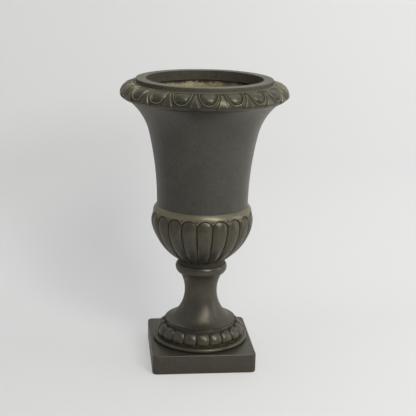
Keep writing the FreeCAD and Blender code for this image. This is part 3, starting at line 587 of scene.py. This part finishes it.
# ---- helpers for pieces
def dress(thing: bpy.types.Object, finish: Finish, node: str) -> None:
    """Give a new piece its finish and its place on the body, and hide the CAD node that it stands
    for.

    Args:
        thing: The piece.
        finish: Its finish.
        node: The CAD node, which has the name of the record's material slot.
    """
    thing.data.materials.append(finish.material())
    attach(thing, "root")
    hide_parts(node)
    log.info("%s: %d faces", thing.name, len(thing.data.polygons))


def keep(names: Sequence[str], finish: Finish) -> None:
    """Give CAD nodes that stay a finish."""
    material = finish.material()
    for name in names:
        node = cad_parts[name]
        node.data.materials.clear()
        node.data.materials.append(material)
        log.info("%s: keeps its solid", name)


def lobe_height(across: Array, beyond: Array, squareness: float, fullness: float,
                shoulder: float) -> Array:
    """Height of a lobe as a share of its depth.

    The distance from the lobe's middle line is the superellipse (|across|^n + |beyond|^n)^(1/n),
    and the height is (1 - distance^fullness)^shoulder, so the face is convex and its edges drop
    steeply into the valleys.

    Args:
        across: Place across the lobe, -1 and 1 at its edges.
        beyond: Place past the straight part towards an end, 0 on it and 1 at the tip.
        squareness: Power of the superellipse.
        fullness: Power of the distance.
        shoulder: Power of the drop.

    Returns:
        Heights from 0 to 1.
    """
    far = (np.abs(across) ** squareness
           + np.clip(beyond, 0, None) ** squareness) ** (1 / squareness)
    return np.clip(1 - np.clip(far, 0, 1) ** fullness, 0, 1) ** shoulder


def across_repeat(azimuth: Array, first: float, count: int) -> Array:
    """Place across the nearest of evenly repeated shapes, -1 and 1 half a pitch to its sides."""
    pitch = 360.0 / count
    return ((azimuth - first + pitch / 2) % pitch) / pitch * 2 - 1


# ---- sub-assemblies
@dataclass
class Pedestal:
    """Plinth, bead ring, foot gadroon ring, trumpet stem and knop collar."""

    plinth_half: float = 143.5
    plinth_height: float = 55.0
    plinth_corner: float = 12.0
    plinth_edge: float = 4.0
    plinth_wall: float = 18.0
    plinth_deck: float = 20.0
    plinth_ledge: float = 40.0
    bead_bottom: float = 55.0
    bead_top: float = 67.0
    bead_flat: float = 127.5
    bead_bore: float = 100.0
    foot_centre: Pair = (87.5, 79.5)
    foot_turn: float = 36.0
    foot_depth: float = 6.6
    foot_fall: float = 4.5
    foot_fall_span: Pair = (-5.0, 62.0)
    foot_end: float = 79.5
    foot_arch: Pair = (30.0, 31.0)
    foot_tuck: Pair = (4.0, 25.0)
    foot_fade: float = 76.0
    foot_bore: float = 92.0
    foot_lobes: int = 20
    foot_first: float = -1.2
    register: float = 5.5
    recess: float = 6.0
    stem_bottom: float = 111.0
    stem_top: float = 251.0
    stem_edge: float = 100.5
    stem_round: float = 0.8
    stem_register: float = 91.7
    stem_recess: float = 48.0
    waist: float = 45.7
    waist_level: float = 198.0
    sweep: float = 104.0
    sweep_end: float = 126.0
    flare: float = 40.5
    stem_wall: float = 12.0
    knop_top: float = 292.0
    knop_foot_radius: float = 62.0
    knop_register: float = 47.7
    knop_recess: float = 50.0
    knop_lower_turn: float = 19.0
    knop_upper_turn: float = 14.0
    knop_radius: float = 72.4
    knop_level: float = 268.0
    knop_turn: Pair = (66.6, 281.0)
    knop_top_radius: float = 64.6
    knop_bore: float = 34.0

    def plinth(self) -> Array:
        """The hollow square plinth as one closed grid.

        Rows follow an outline from the underside's inner edge out, up, over the rounded top edge
        to the middle, and back inside the hollow.  Each row is a rounded square: four quarter
        circles at the corners joined by straight sides, drawn in by the outline's inset.

        Returns:
            Grid of points in millimetres.
        """
        half, corner, edge = self.plinth_half, self.plinth_corner, self.plinth_edge
        height, wall = self.plinth_height, self.plinth_wall
        deck = height - self.plinth_deck
        turn = np.radians(np.linspace(0, 90, 9))
        bottom = np.stack([edge - edge * np.sin(turn), edge - edge * np.cos(turn)], 1)
        top = np.stack([edge - edge * np.cos(turn), height - edge + edge * np.sin(turn)], 1)
        rows = np.concatenate([
            [[wall, 0.0], [wall * 0.6, 0.0]], bottom,
            np.linspace([0, edge], [0, height - edge], 14)[1:-1],
            top, np.linspace([edge + 4, height], [half, height], 26),
            [[half, deck], [wall + self.plinth_ledge, deck], [wall, deck], [wall, deck * 0.5]]])
        quarter = np.radians(np.linspace(0, 90, 10))
        side = np.linspace(-1, 1, 40)[1:-1]
        flat = half - corner
        run = np.stack([np.full_like(side, half), side * flat], 1)
        bend = np.stack([flat + corner * np.cos(quarter), flat + corner * np.sin(quarter)], 1)
        plan = []
        for angle in np.arange(4) * math.pi / 2:
            spin = np.array([[math.cos(angle), -math.sin(angle)],
                             [math.sin(angle), math.cos(angle)]])
            plan.append(np.concatenate([run, bend]) @ spin.T)
        ring = np.concatenate(plan)
        points = np.empty((len(rows), len(ring), 3))
        points[..., :2] = ring[None] * (1 - rows[:, 0] / half)[:, None, None]
        points[..., 2] = rows[:, 1][:, None]
        return points

    def bead(self) -> Array:
        """Outline of the bead ring: flat below and above, half round outside."""
        middle = (self.bead_bottom + self.bead_top) / 2
        radius = (self.bead_top - self.bead_bottom) / 2
        return outline(
            straight([(self.bead_bore, self.bead_bottom), (self.bead_flat, self.bead_bottom)], 3.0),
            arc((self.bead_flat, middle), radius, -90, 90, 0.8),
            straight([(self.bead_flat, self.bead_top), (self.bead_bore, self.bead_top),
                      (self.bead_bore, self.bead_bottom + 2)], 3.0))

    def foot(self) -> tuple[Array, int]:
        """Outline of the foot ring and the number of its points on the lobed curve."""
        centre, turn = self.foot_centre, self.foot_turn
        low = math.degrees(math.asin((self.bead_top - centre[1]) / turn))
        angle = np.linspace(low, self.foot_end, 78)
        radius = turn - self.foot_fall * smooth_step(*self.foot_fall_span, angle)
        turned = np.stack([np.cos(np.radians(angle)), np.sin(np.radians(angle))], 1)
        curve = np.asarray(centre) + radius[:, None] * turned
        loop = outline(curve, straight([tuple(curve[-1]), (self.foot_bore, float(curve[-1][1])),
                                        (self.foot_bore, self.bead_top),
                                        tuple(curve[0])], 5.0)[1:-1])
        return loop, len(curve)

    def foot_relief(self, loop: Array, curved: int, azimuth: Array) -> Array:
        """Relief of the foot's lobes, which tuck under below and close in arches above.

        Args and result: as in Rim.carving.
        """
        angle = np.degrees(np.arctan2(*(loop - np.asarray(self.foot_centre)).T[::-1]))
        across = across_repeat(azimuth, self.foot_first, self.foot_lobes)[None, :]
        beyond = np.maximum((angle - self.foot_arch[0]) / self.foot_arch[1],
                            (self.foot_tuck[0] - angle) / self.foot_tuck[1])[:, None]
        height = lobe_height(across, beyond, 2.3, 2.1, 0.52)
        fade = smooth_step(self.foot_fade, self.foot_fall_span[1], angle)[:, None]
        relief = self.foot_depth * (height - 1) * fade
        relief[curved:] = 0.0
        return relief

    def stem(self) -> Array:
        """Outline of the waisted stem: flare, long hollow curve, and an even wall inside."""
        centre = self.waist + self.sweep
        inner = self.sweep + self.stem_wall
        fall = (self.waist_level - self.sweep_end) / self.sweep
        across = math.sqrt(1 - fall * fall)
        flare_centre = (centre - (self.sweep - self.flare) * across,
                        self.waist_level - (self.sweep - self.flare) * fall)
        base, top_level = self.stem_bottom, self.stem_top
        low, high = base - self.register, top_level - self.recess
        edge, bend = self.stem_edge - self.stem_round, self.stem_round
        lip = flare_centre[1] - math.sqrt(self.flare ** 2
                                          - (self.stem_edge - flare_centre[0]) ** 2)
        join = (centre - self.sweep * across, self.sweep_end)
        top = centre - math.sqrt(self.sweep ** 2 - (top_level - self.waist_level) ** 2)
        top_in = centre - math.sqrt(inner ** 2 - (high - self.waist_level) ** 2)
        foot_in = centre - math.sqrt(inner ** 2 - (self.waist_level - low) ** 2)
        return outline(
            straight([(foot_in, low), (self.stem_register, low), (self.stem_register, base),
                      (edge, base)], 3.0),
            arc((edge, base + bend), bend, -90, 0, 0.3),
            arc((edge, lip - bend), bend, 0, 90, 0.3),
            arc_between((edge, lip), join, self.flare, Way.RIGHT, 1.6)[1:],
            arc_between(join, (top, top_level), self.sweep, Way.RIGHT, 2.0)[1:],
            straight([(top, top_level), (self.stem_recess, top_level), (self.stem_recess, high),
                      (top_in, high)], 3.0)[1:],
            arc_between((top_in, high), (foot_in, low), inner, Way.LEFT, 6.0)[1:-1])

    def knop(self) -> Array:
        """Outline of the rounded collar with its register and recess."""
        low, high = self.stem_top, self.knop_top
        tongue, floor = low - self.register, high - self.recess
        belly = (self.knop_radius, self.knop_level)
        return outline(
            straight([(self.knop_bore, tongue), (self.knop_register, tongue),
                      (self.knop_register, low), (self.knop_foot_radius, low)], 3.0),
            arc_between((self.knop_foot_radius, low), belly, self.knop_lower_turn, Way.LEFT,
                        0.9)[1:],
            arc_between(belly, self.knop_turn, self.knop_upper_turn, Way.LEFT, 0.7)[1:],
            straight([self.knop_turn, (self.knop_top_radius, high), (self.knop_recess, high),
                      (self.knop_recess, floor), (self.knop_bore, floor),
                      (self.knop_bore, low - 3)], 4.0)[1:])

    def build(self) -> None:
        """Make and dress the five pieces."""
        points = self.plinth()
        relief = surface_relief(points, 2.5)
        dress(grid_object("plinth_slab", points * MM, fields={"relief": relief}, crease=50.0),
              BronzePatina("plinth_patina", warm=(0.05, 0.048, 0.038), rub_low=0.35, rub_high=1.1,
                           rub_share=0.22), "plinth")
        bead = self.bead()
        # painted highlight: painted_light brightens the whole bead with the rub colour
        dress(Turned("foot_bead", bead, wobble=0.15, painted_light=np.full(len(bead), 0.15)).build(),
              BronzePatina("bead_patina", rub_low=0.2, rub_high=0.9, rub_share=0.5),
              "foot_bead_ring")
        loop, curved = self.foot()
        foot = Turned("foot_gadroons", loop, self.foot_lobes * 48)
        foot.relief = self.foot_relief(loop, curved, foot.azimuths())
        foot.worn = smooth_step(107.0, 103.0, loop[:, 1])
        dress(foot.build(), BronzePatina("foot_patina", rub_share=0.52), "foot_gadroon_ring")
        stem = self.stem()
        worn = smooth_step(self.stem_bottom + 2, self.stem_bottom + 12, stem[:, 1])
        # painted shade on the flange's upright edge face
        painted_shade = 0.7 * (stem[:, 0] > self.stem_edge - 1.0)
        dress(Turned("stem", stem, wobble=0.12, worn=worn, painted_shade=painted_shade).build(),
              BronzePatina("stem_patina", roughness=0.41, rub_share=0.55, rub_low=0.25,
                           rub_high=0.8), "trumpet_stem")
        knop = self.knop()
        # painted shade on the knop's top above its turn, under the bowl
        painted_shade = 0.95 * smooth_step(self.knop_turn[1] - 1.5, self.knop_turn[1] + 1, knop[:, 1])
        dress(Turned("knop", knop, 300, wobble=0.1, worn=1 - painted_shade, painted_shade=painted_shade).build(),
              BronzePatina("knop_patina", rub_share=0.5, rub_low=0.3, rub_high=0.9),
              "knop_collar")


@dataclass
class Vessel:
    """Gadrooned bowl and the tall flaring body on it."""

    bowl_bottom: float = 292.0
    bowl_top: float = 450.0
    bowl_wall: float = 19.2
    bowl_floor: float = 14.0
    bowl_hollow_top: float = 436.0
    bowl_seat: float = 115.0
    bowl_seat_depth: float = 10.0
    bowl_register: float = 49.7
    register: float = 5.5
    rod_bore: float = 7.0
    belly_radius: float = 142.0
    belly_level: float = 406.0
    upper_turn: float = 75.0
    turn_level: float = 382.0
    lower_turn: float = 168.5
    shoulder_radius: float = 127.0
    shoulder_level: float = 418.0
    shoulder_bow: float = 40.0
    arch_level: float = 413.5
    arch_rise: float = 21.0
    lobes: int = 20
    first: float = -2.5
    depth: float = 7.6
    neck_depth: float = 4.2
    roll: float = 2.6
    band_drop: float = 2.0
    body_bottom: float = 450.0
    body_top: float = 740.0
    waist: float = 126.7
    lean: float = 12.85
    flare_level: float = 650.0
    flare: float = 163.0
    wall: float = 9.0
    ledge: float = 9.0
    body_round: float = 0.5
    body_register: float = 114.7
    body_tongue: float = 8.0

    def bowl_curves(self, inset: float, step: float) -> tuple[Array, Array]:
        """Lower and upper arc of the bowl's meridian, moved in by an inset.

        Args:
            inset: Distance towards the axis.
            step: Spacing of the points.

        Returns:
            The lower run from the neck up and the upper run to the belly and past it.
        """
        upper = (self.belly_radius - self.upper_turn - inset, self.belly_level)
        fall = (self.belly_level - self.turn_level) / self.upper_turn
        out = math.sqrt(1 - fall * fall)
        gap = self.lower_turn - self.upper_turn
        lower = (upper[0] - gap * out, upper[1] + gap * fall)
        turn = -math.degrees(math.asin(fall))
        start = -math.degrees(math.asin((lower[1] - self.bowl_bottom) / self.lower_turn))
        end = math.degrees(math.asin((self.shoulder_level - self.belly_level) / self.upper_turn))
        return (arc(lower, self.lower_turn, start, turn, step),
                arc(upper, self.upper_turn, turn, end, step))

    def bowl(self) -> tuple[Array, int]:
        """Outline of the bowl over its lobes and the number of points on the outer face."""
        lower, upper = self.bowl_curves(0.0, 1.35)
        top = self.bowl_top
        shoulder = arc_between(upper[-1], (self.shoulder_radius, top), self.shoulder_bow,
                               Way.LEFT, 1.0)
        face = np.concatenate([lower, upper[1:], shoulder[1:]])
        low_in, up_in = self.bowl_curves(self.bowl_wall, 8.0)
        floor = self.bowl_bottom + self.bowl_floor
        tongue = self.bowl_bottom - self.register
        inner = np.concatenate([low_in[low_in[:, 1] > floor + 2], up_in[1:]])[::-1]
        inner = inner[inner[:, 1] < self.bowl_hollow_top]
        loop = outline(
            face,
            straight([(self.shoulder_radius, top), (self.bowl_seat, top),
                      (self.bowl_seat, top - self.bowl_seat_depth)], 5.0)[1:],
            inner,
            straight([(float(inner[-1][0]) - 4, floor), (self.rod_bore, floor),
                      (self.rod_bore, tongue), (self.bowl_register, tongue),
                      (self.bowl_register, self.bowl_bottom), tuple(face[0])], 6.0)[:-1])
        return loop, len(face)

    def bowl_relief(self, loop: Array, outer: int, azimuth: Array) -> Array:
        """Relief of the lobes: shallower towards the neck, closed above in flat round arches.

        Args and result: as in Rim.carving.
        """
        crest, level = loop.T
        tip = self.arch_level + self.arch_rise
        share = np.clip((crest - crest[0]) / (self.belly_radius - crest[0]), 0, 1)
        depth = self.neck_depth + (self.depth - self.neck_depth) * share
        across = across_repeat(azimuth, self.first, self.lobes)[None, :]
        beyond = ((level - self.arch_level) / self.arch_rise)[:, None]
        height = lobe_height(across, beyond, 2.2, 2.2, 0.55)
        closing = smooth_step(self.arch_level - 2, tip + 2, level)
        roll = self.roll * smooth_step(self.arch_level - 10, tip + 1, level)
        lobe = (depth * (1 - 0.6 * closing))[:, None] * (height - 1) - roll[:, None]
        far = np.hypot(across, np.clip(beyond, 0, None))
        band = (-self.band_drop * smooth_step(tip + 8, tip - 6, level))[:, None]
        outside = smooth_step(1.0, 1.14, far) * smooth_step(0.0, 0.3, beyond)
        relief = lobe + (band - lobe) * outside
        relief[outer:] = 0.0
        return relief

    def wall_curves(self, depth: float, low: float, steps: Pair) -> Array:
        """Both curves of the body's wall, from a level up to its top.

        Args:
            depth: Distance inside the outer face.
            low: Level of the first point.
            steps: Spacing of the points on the long lower curve and on the flare.

        Returns:
            An array of (radius, height) rows.
        """
        lean = math.radians(self.lean)
        sweep = (self.flare_level - self.body_bottom) / math.sin(lean)
        turn_radius = self.waist + sweep * (1 - math.cos(lean))
        centre = (turn_radius + self.flare * math.cos(lean),
                  self.flare_level - self.flare * math.sin(lean))
        start = math.degrees(math.asin((low - self.body_bottom) / (sweep + depth)))
        top = math.degrees(math.asin((self.body_top - centre[1]) / (self.flare + depth)))
        lower = arc((self.waist + sweep, self.body_bottom), sweep + depth, 180 - start,
                    180 - self.lean, steps[0])
        upper = arc(centre, self.flare + depth, 180 - self.lean, 180 - top, steps[1])
        return np.concatenate([lower, upper[1:]])

    def body(self) -> Array:
        """Outline of the flaring body with its register, ledge and flat top."""
        low, bend = self.body_bottom, self.body_round
        outer = self.wall_curves(0.0, low, (3.0, 3.0))
        inner = self.wall_curves(self.wall, low + self.ledge, (8.0, 8.0))
        ledge = float(inner[0][0]) - self.ledge
        edge = float(outer[0][0]) - bend
        tongue = low - self.body_tongue
        return outline(
            straight([(ledge, tongue), (self.body_register, tongue), (self.body_register, low),
                      (edge, low)], 3.0),
            arc((edge, low + bend), bend, -90, 0, 0.25)[1:], outer[1:],
            straight([tuple(outer[-1]), tuple(inner[-1])], 4.0)[1:-1], inner[::-1],
            straight([tuple(inner[0]), (ledge, low + self.ledge), (ledge, low - 5)], 4.0)[1:])

    def build(self) -> None:
        """Make and dress both pieces."""
        loop, outer = self.bowl()
        bowl = Turned("bowl_gadroons", loop, self.lobes * 44)
        bowl.relief = self.bowl_relief(loop, outer, bowl.azimuths())
        bowl.worn = smooth_step(self.bowl_top - 4, self.bowl_top - 10, loop[:, 1])
        # painted sheen on the shoulder band above the arches: painted_light raises the relief there
        # for the rub colour
        band = smooth_step(self.arch_level + 17, self.arch_level + 24, loop[:, 1])
        bowl.painted_light = 0.42 * band * (np.arange(len(loop)) < outer)
        dress(bowl.build(), BronzePatina("bowl_patina", rub_share=0.42), "gadrooned_bowl")
        dress(Turned("body_shell", self.body(), 480, wobble=0.2).build(),
              BronzePatina("body_patina", warm=(0.053, 0.051, 0.040), tint=(1.0, 0.97, 0.88),
                           rub_share=0.25, rub_low=0.4, rub_high=1.2), "campana_body")


@dataclass
class Rim:
    """Egg-and-dart ring and the flat lip on it."""

    bottom: float = 740.0
    top: float = 787.0
    bore: float = 177.0
    seat: float = 205.04
    centre: Pair = (197.72, 756.5)
    turn: float = 32.5
    nose: float = 8.0
    nose_turn: float = 60.0
    count: int = 20
    first: float = -2.9
    middle: float = 42.0
    fullness: float = 2.3
    egg_half: float = 18.2
    egg_end: float = 11.4
    inner_half: float = 19.4
    inner_end: float = 10.0
    outer_half: float = 24.4
    outer_end: float = 4.6
    fan_top: float = 1.3
    fan_foot: float = 14.0
    fan_rise: float = 52.0
    ground: float = 4.4
    egg_rise: float = 0.95
    inner_ridge: Pair = (0.9, 0.62)
    outer_ridge: Pair = (1.6, 0.85)
    dart_rise: Pair = (0.62, 0.19)
    lip_radius: float = 186.5
    lip_seat: float = 176.7
    lip_round: float = 2.0
    mouth: float = 158.0
    lip_top: float = 800.0
    skirt: float = 773.0

    def ring(self) -> tuple[Array, int]:
        """Outline of the rounded moulding and the number of its points on the carved curve."""
        nose_centre = (self.centre[0] + self.turn - self.nose, self.centre[1])
        high = 180 - math.degrees(math.asin((self.top - self.centre[1]) / self.turn))
        curve = np.concatenate([arc(nose_centre, self.nose, -self.nose_turn, 0, 0.9)[:-1],
                                arc(self.centre, self.turn, 0, high, 0.9)])
        seat = (self.seat, self.bottom)
        loop = outline(curve,
                       straight([tuple(curve[-1]), (self.bore, self.top),
                                 (self.bore, self.bottom), seat], 9.0)[1:],
                       straight([seat, tuple(curve[0])], 2.5)[1:-1])
        return loop, len(curve)

    def carving(self, loop: Array, curved: int, azimuth: Array) -> Array:
        """Relief of eggs, their double borders and the darts, in millimetres below the crest.

        Every outline is a D that hangs from the ring's top: with a = across / half width and
        b = (middle - along) / (middle - end), cut off at 0, the share (a^n + b^n)^(1/n) is 1 on
        it, and (share - 1) over the length of its gradient is the distance from it.  The egg
        swells inside its D, two ridges follow theirs, and between neighbours a smooth dart
        fans out to the ring's lower edge.

        Args:
            loop: The outline.
            curved: Number of its points on the carved curve.
            azimuth: Azimuths of the columns in degrees.

        Returns:
            Relief for each point of the grid.
        """
        run = np.concatenate([[0.0], np.cumsum(np.hypot(*np.diff(loop[:curved], axis=0).T))])
        run -= math.radians(self.nose_turn) * self.nose
        along = np.concatenate([run, np.full(len(loop) - curved, run[0])])[:, None]
        half_pitch = math.pi / self.count
        place = across_repeat(azimuth, self.first, self.count)[None, :]
        across = np.abs(place) * half_pitch * loop[:, :1]

        def outside(half: float, end: float) -> Array:
            """Distance outside the D of a half width that ends at a place along, in millimetres."""
            n, drop = self.fullness, self.middle - end
            a, b = across / half, np.clip(self.middle - along, 0, None) / drop
            share = np.maximum((a ** n + b ** n) ** (1 / n), 1e-3)
            slope = np.hypot(a ** (n - 1) / half, b ** (n - 1) / drop) * share ** (1 - n)
            return (share - 1) / np.maximum(slope, 1e-3)

        egg = outside(self.egg_half, self.egg_end)
        inside = np.clip(-egg / self.egg_half, 0, 1)
        swell = np.sqrt(1 - (1 - inside) ** 2)
        low_swell = 0.62 + 0.38 * smooth_step(self.middle + 8, self.egg_end + 8, along)
        height = self.egg_rise * self.ground * swell * low_swell

        def ridge(distance: Array, width: float, rise: float) -> Array:
            """A flat-topped ridge: rise times exp(-(distance / width)^4)."""
            return rise * self.ground * np.exp(-(distance / width) ** 4)

        inner = ridge(outside(self.inner_half, self.inner_end), *self.inner_ridge)
        border = outside(self.outer_half, self.outer_end)
        outer = ridge(border, *self.outer_ridge)
        gap = (1 - np.abs(place)) * half_pitch * loop[:, :1]
        rise = np.clip((self.fan_rise - along) / self.fan_rise, 0, 1.1)
        fan_half = self.fan_top + (self.fan_foot - self.fan_top) * rise ** 1.55
        fan = smooth_step(0.0, 2.2, fan_half - gap) * smooth_step(2.0, 3.4, border)
        low, more = self.dart_rise
        dart = fan * self.ground * (low + more * smooth_step(24.0, 0.0, along))
        height = np.maximum.reduce([height, inner, outer, dart])
        ceiling = smooth_step(self.middle + 17, self.middle + 14, along)
        relief = (height - self.ground) * ceiling - 0.5 * self.ground * (1 - ceiling)
        relief *= smooth_step(self.middle + 20.5, self.middle + 19, along)
        undercut = -1.2 - smooth_step(-0.4, -1.6, along)
        relief = np.where(along < -0.5, np.minimum(relief, undercut), relief)
        relief[curved:] = 0.0
        under = np.arange(len(loop)) - len(loop)
        below = (under >= -4)[:, None]
        share = (np.clip(5 + under, 0, 5) / 5)[:, None] ** 2
        return np.where(below, relief[0][None] * share, relief)

    def lip(self) -> Array:
        """Outline of the flat lip and the painted band that turns down into the mouth."""
        wide, high, bend = self.lip_radius, self.lip_top, self.lip_round
        return outline(
            straight([(self.mouth, self.skirt), (self.lip_seat, self.skirt),
                      (self.lip_seat, self.top), (wide, self.top)], 3.0),
            straight([(wide, self.top), (wide, high - bend)], 3.0)[1:],
            arc((wide - bend, high - bend), bend, 0, 90, 0.5)[1:],
            straight([(wide - bend, high), (self.mouth + bend, high)], 2.0)[1:],
            arc((self.mouth + bend, high - bend), bend, 90, 180, 0.5)[1:],
            straight([(self.mouth, high - bend), (self.mouth, self.skirt + bend)], 3.0)[1:])

    def build(self) -> None:
        """Make and dress both pieces."""
        loop, curved = self.ring()
        ring = Turned("eggs_and_darts", loop, self.count * 48, wear_width=2.0)
        ring.relief = self.carving(loop, curved, ring.azimuths())
        level = loop[:, 1] - self.centre[1]
        ring.worn = smooth_step(-3.0, 1.0, level)
        # painted shade on the ring's nose and underside: lowered relief and the grime colour
        ring.painted_light = -0.35 * smooth_step(0.0, -1.5, level)
        ring.painted_shade = 0.9 * smooth_step(0.4, -0.8, level) * smooth_step(-4.5, -2.5, level)
        dress(ring.build(), BronzePatina("egg_patina", rub_share=0.5, rub_low=0.12, rub_high=0.75,
                                         grime_low=0.15, grime_high=0.9), "egg_and_dart_ring")
        lip = self.lip()
        # painted shade in the mouth band and on the lip's outer face
        painted_shade = (0.75 * (lip[:, 0] < self.mouth + 1)
                + 0.6 * (lip[:, 0] > self.lip_radius - 0.5))
        dress(Turned("lip", lip, 480, wobble=0.35, painted_shade=painted_shade).build(),
              BronzePatina("lip_patina", ground=(0.12, 0.12, 0.10), warm=(0.15, 0.148, 0.12),
                           metal=0.25, roughness=0.55, speckle=0.5, rub_share=0.4), "lip_ring")


@dataclass
class Lining:
    """Raw fibre backing inside the body and inside the bowl."""

    throat: float = 160.5
    throat_top: float = 773.0
    outside: float = 176.7
    bottom: float = 459.0
    depths: Pair = (9.3, 16.3)

    def body(self) -> Array:
        """Outline of the backing: up the body's inner face, straight up behind the rim."""
        vessel = Vessel()
        outer, inner = (vessel.wall_curves(depth, self.bottom, (5.0, 4.0))
                        for depth in self.depths)
        inner = inner[inner[:, 0] < self.throat - 1]
        return outline(
            outer,
            straight([tuple(outer[-1]), (self.outside, vessel.body_top),
                      (self.outside, self.throat_top), (self.throat, self.throat_top),
                      (self.throat, float(inner[-1][1]) + 4)], 3.0)[1:],
            inner[::-1], straight([tuple(inner[0]), tuple(outer[0])], 3.0)[1:-1])

    def build(self) -> None:
        """Make the body's backing with an uneven face; the bowl's keeps its solid."""
        loop = self.body()
        lining = Turned("fibre_backing", loop, wear_width=4.0)
        azimuth = np.radians(lining.azimuths())[None, :]
        level = loop[:, 1:]
        inside = (normals(loop)[:, :1] < -0.2) & (loop[:, :1] < 176.0)
        waves = (np.sin(azimuth * 11 + level * 0.07) + np.sin(azimuth * 23 - level * 0.11 + 1.3)
                 + 0.7 * np.sin(azimuth * 41 + level * 0.19 + 0.4)) * 0.32
        lining.relief = np.where(inside, waves - 0.9, 0.0)
        dress(lining.build(), RawFibre("raw_fibre"), "body_lining")
        keep(("bowl_lining",), RawFibre("raw_fibre_bowl", stain_top=2.0))


@dataclass
class RodSet:
    """Tie rod, nuts, washers, gasket and spreader bar, which keep their solids."""

    steel: Sequence[str] = ("tie_rod", "top_nut", "top_washer", "spreader_bar",
                            "bottom_washer", "bottom_nut")
    rubber: Sequence[str] = ("sealing_gasket",)

    def build(self) -> None:
        """Dress the pieces."""
        keep(self.steel, PlatedSteel("plated_steel"))
        keep(self.rubber, BlackRubber("black_rubber"))


@dataclass(frozen=True)
class Lamp:
    """A plain area lamp: its place and size in metres, and its power."""

    name: str
    place: Triple
    size: Pair
    watts: float
    colour: Colour = (1.0, 1.0, 1.0)

    def build(self, aim: Vector) -> None:
        """Make the lamp and turn it to a point."""
        data = bpy.data.lights.new(self.name, "AREA")
        data.shape = "RECTANGLE"
        data.size, data.size_y = self.size
        data.energy = self.watts
        data.color = self.colour
        thing = bpy.data.objects.new(self.name, data)
        thing.location = self.place
        thing.rotation_euler = (aim - Vector(self.place)).to_track_quat("-Z", "Y").to_euler()
        bpy.context.scene.collection.objects.link(thing)


@dataclass
class Studio:
    """Paper sweep, soft lights and the camera."""

    half_width: float = 4.5
    front: float = -4.0
    back: float = 0.30
    rise: float = 4.5
    bend: float = 0.40
    lamps: tuple[Lamp, ...] = (
        Lamp("key", (1.35, -2.35, 1.95), (0.6, 0.8), 29.0),
        Lamp("spark", (0.55, -1.8, 2.6), (1.2, 0.6), 24.0, (1.0, 0.94, 0.80)),
        Lamp("top", (0.3, -0.2, 3.2), (2.6, 2.6), 20.0),
        Lamp("side", (2.4, -0.3, 1.0), (0.8, 2.0), 12.0),
        Lamp("fill", (-2.8, -0.6, 1.5), (2.2, 2.6), 5.0))
    aim: Triple = (0.0, 0.0, 0.42)
    room: Colour = (0.9, 0.9, 0.92)
    room_strength: float = 0.28
    lens: float = 87.22
    camera_place: Triple = (-0.27887, -2.69678, 1.17758)
    heading: float = -6.2374
    pitch: float = 15.2808
    roll: float = 1.21319

    def sweep(self) -> None:
        """Floor and backdrop in one sheet: flat, a quarter circle, then upright."""
        turn = np.radians(np.linspace(0, 90, 25))
        run = np.concatenate([
            np.stack([np.linspace(self.front, self.back, 30), np.zeros(30)], 1),
            np.stack([self.back + self.bend * np.sin(turn),
                      self.bend * (1 - np.cos(turn))], 1)[1:],
            [[self.back + self.bend, self.rise]]])
        across = np.linspace(-self.half_width, self.half_width, 20)
        points = np.empty((len(run), len(across), 3))
        points[..., 0] = across[None]
        points[..., 1:] = run[:, None]
        sheet = grid_object("paper_sweep", points, closed=False)
        sheet.data.materials.append(PaperSweep("sweep_paper").material())

    def camera(self) -> None:
        """The camera, turned by its heading, its pitch down and its roll."""
        heading, pitch, roll = (math.radians(value)
                                for value in (self.heading, self.pitch, self.roll))
        ahead = Vector((-math.sin(heading) * math.cos(pitch),
                        math.cos(heading) * math.cos(pitch), -math.sin(pitch)))
        level = ahead.cross(Vector((0, 0, 1))).normalized()
        above = level.cross(ahead)
        right = level * math.cos(roll) + above * math.sin(roll)
        up = above * math.cos(roll) - level * math.sin(roll)
        data = bpy.data.cameras.new("camera")
        data.lens = self.lens
        data.sensor_width = 36.0
        data.clip_end = 50.0
        thing = bpy.data.objects.new("camera", data)
        turn = Matrix((right, up, -ahead)).transposed().to_4x4()
        thing.matrix_world = Matrix.Translation(self.camera_place) @ turn
        bpy.context.scene.collection.objects.link(thing)
        bpy.context.scene.camera = thing

    def build(self) -> None:
        """Set up everything round the urn."""
        self.sweep()
        for lamp in self.lamps:
            lamp.build(Vector(self.aim))
        world = bpy.data.worlds.new("room")
        world.use_nodes = True
        background = world.node_tree.nodes["Background"]
        background.inputs["Color"].default_value = (*self.room, 1.0)
        background.inputs["Strength"].default_value = self.room_strength
        bpy.context.scene.world = world
        bpy.context.scene.view_settings.view_transform = "Standard"
        self.camera()


def main() -> None:
    """Build the urn's pieces in order, then the studio."""
    logging.basicConfig(level=logging.INFO, format="%(name)s %(message)s")
    for part in (Pedestal(), Vessel(), Rim(), Lining(), RodSet(), Studio()):
        part.build()
        log.info("%s is in place", type(part).__name__)


if __name__ == "__main__":
    main()
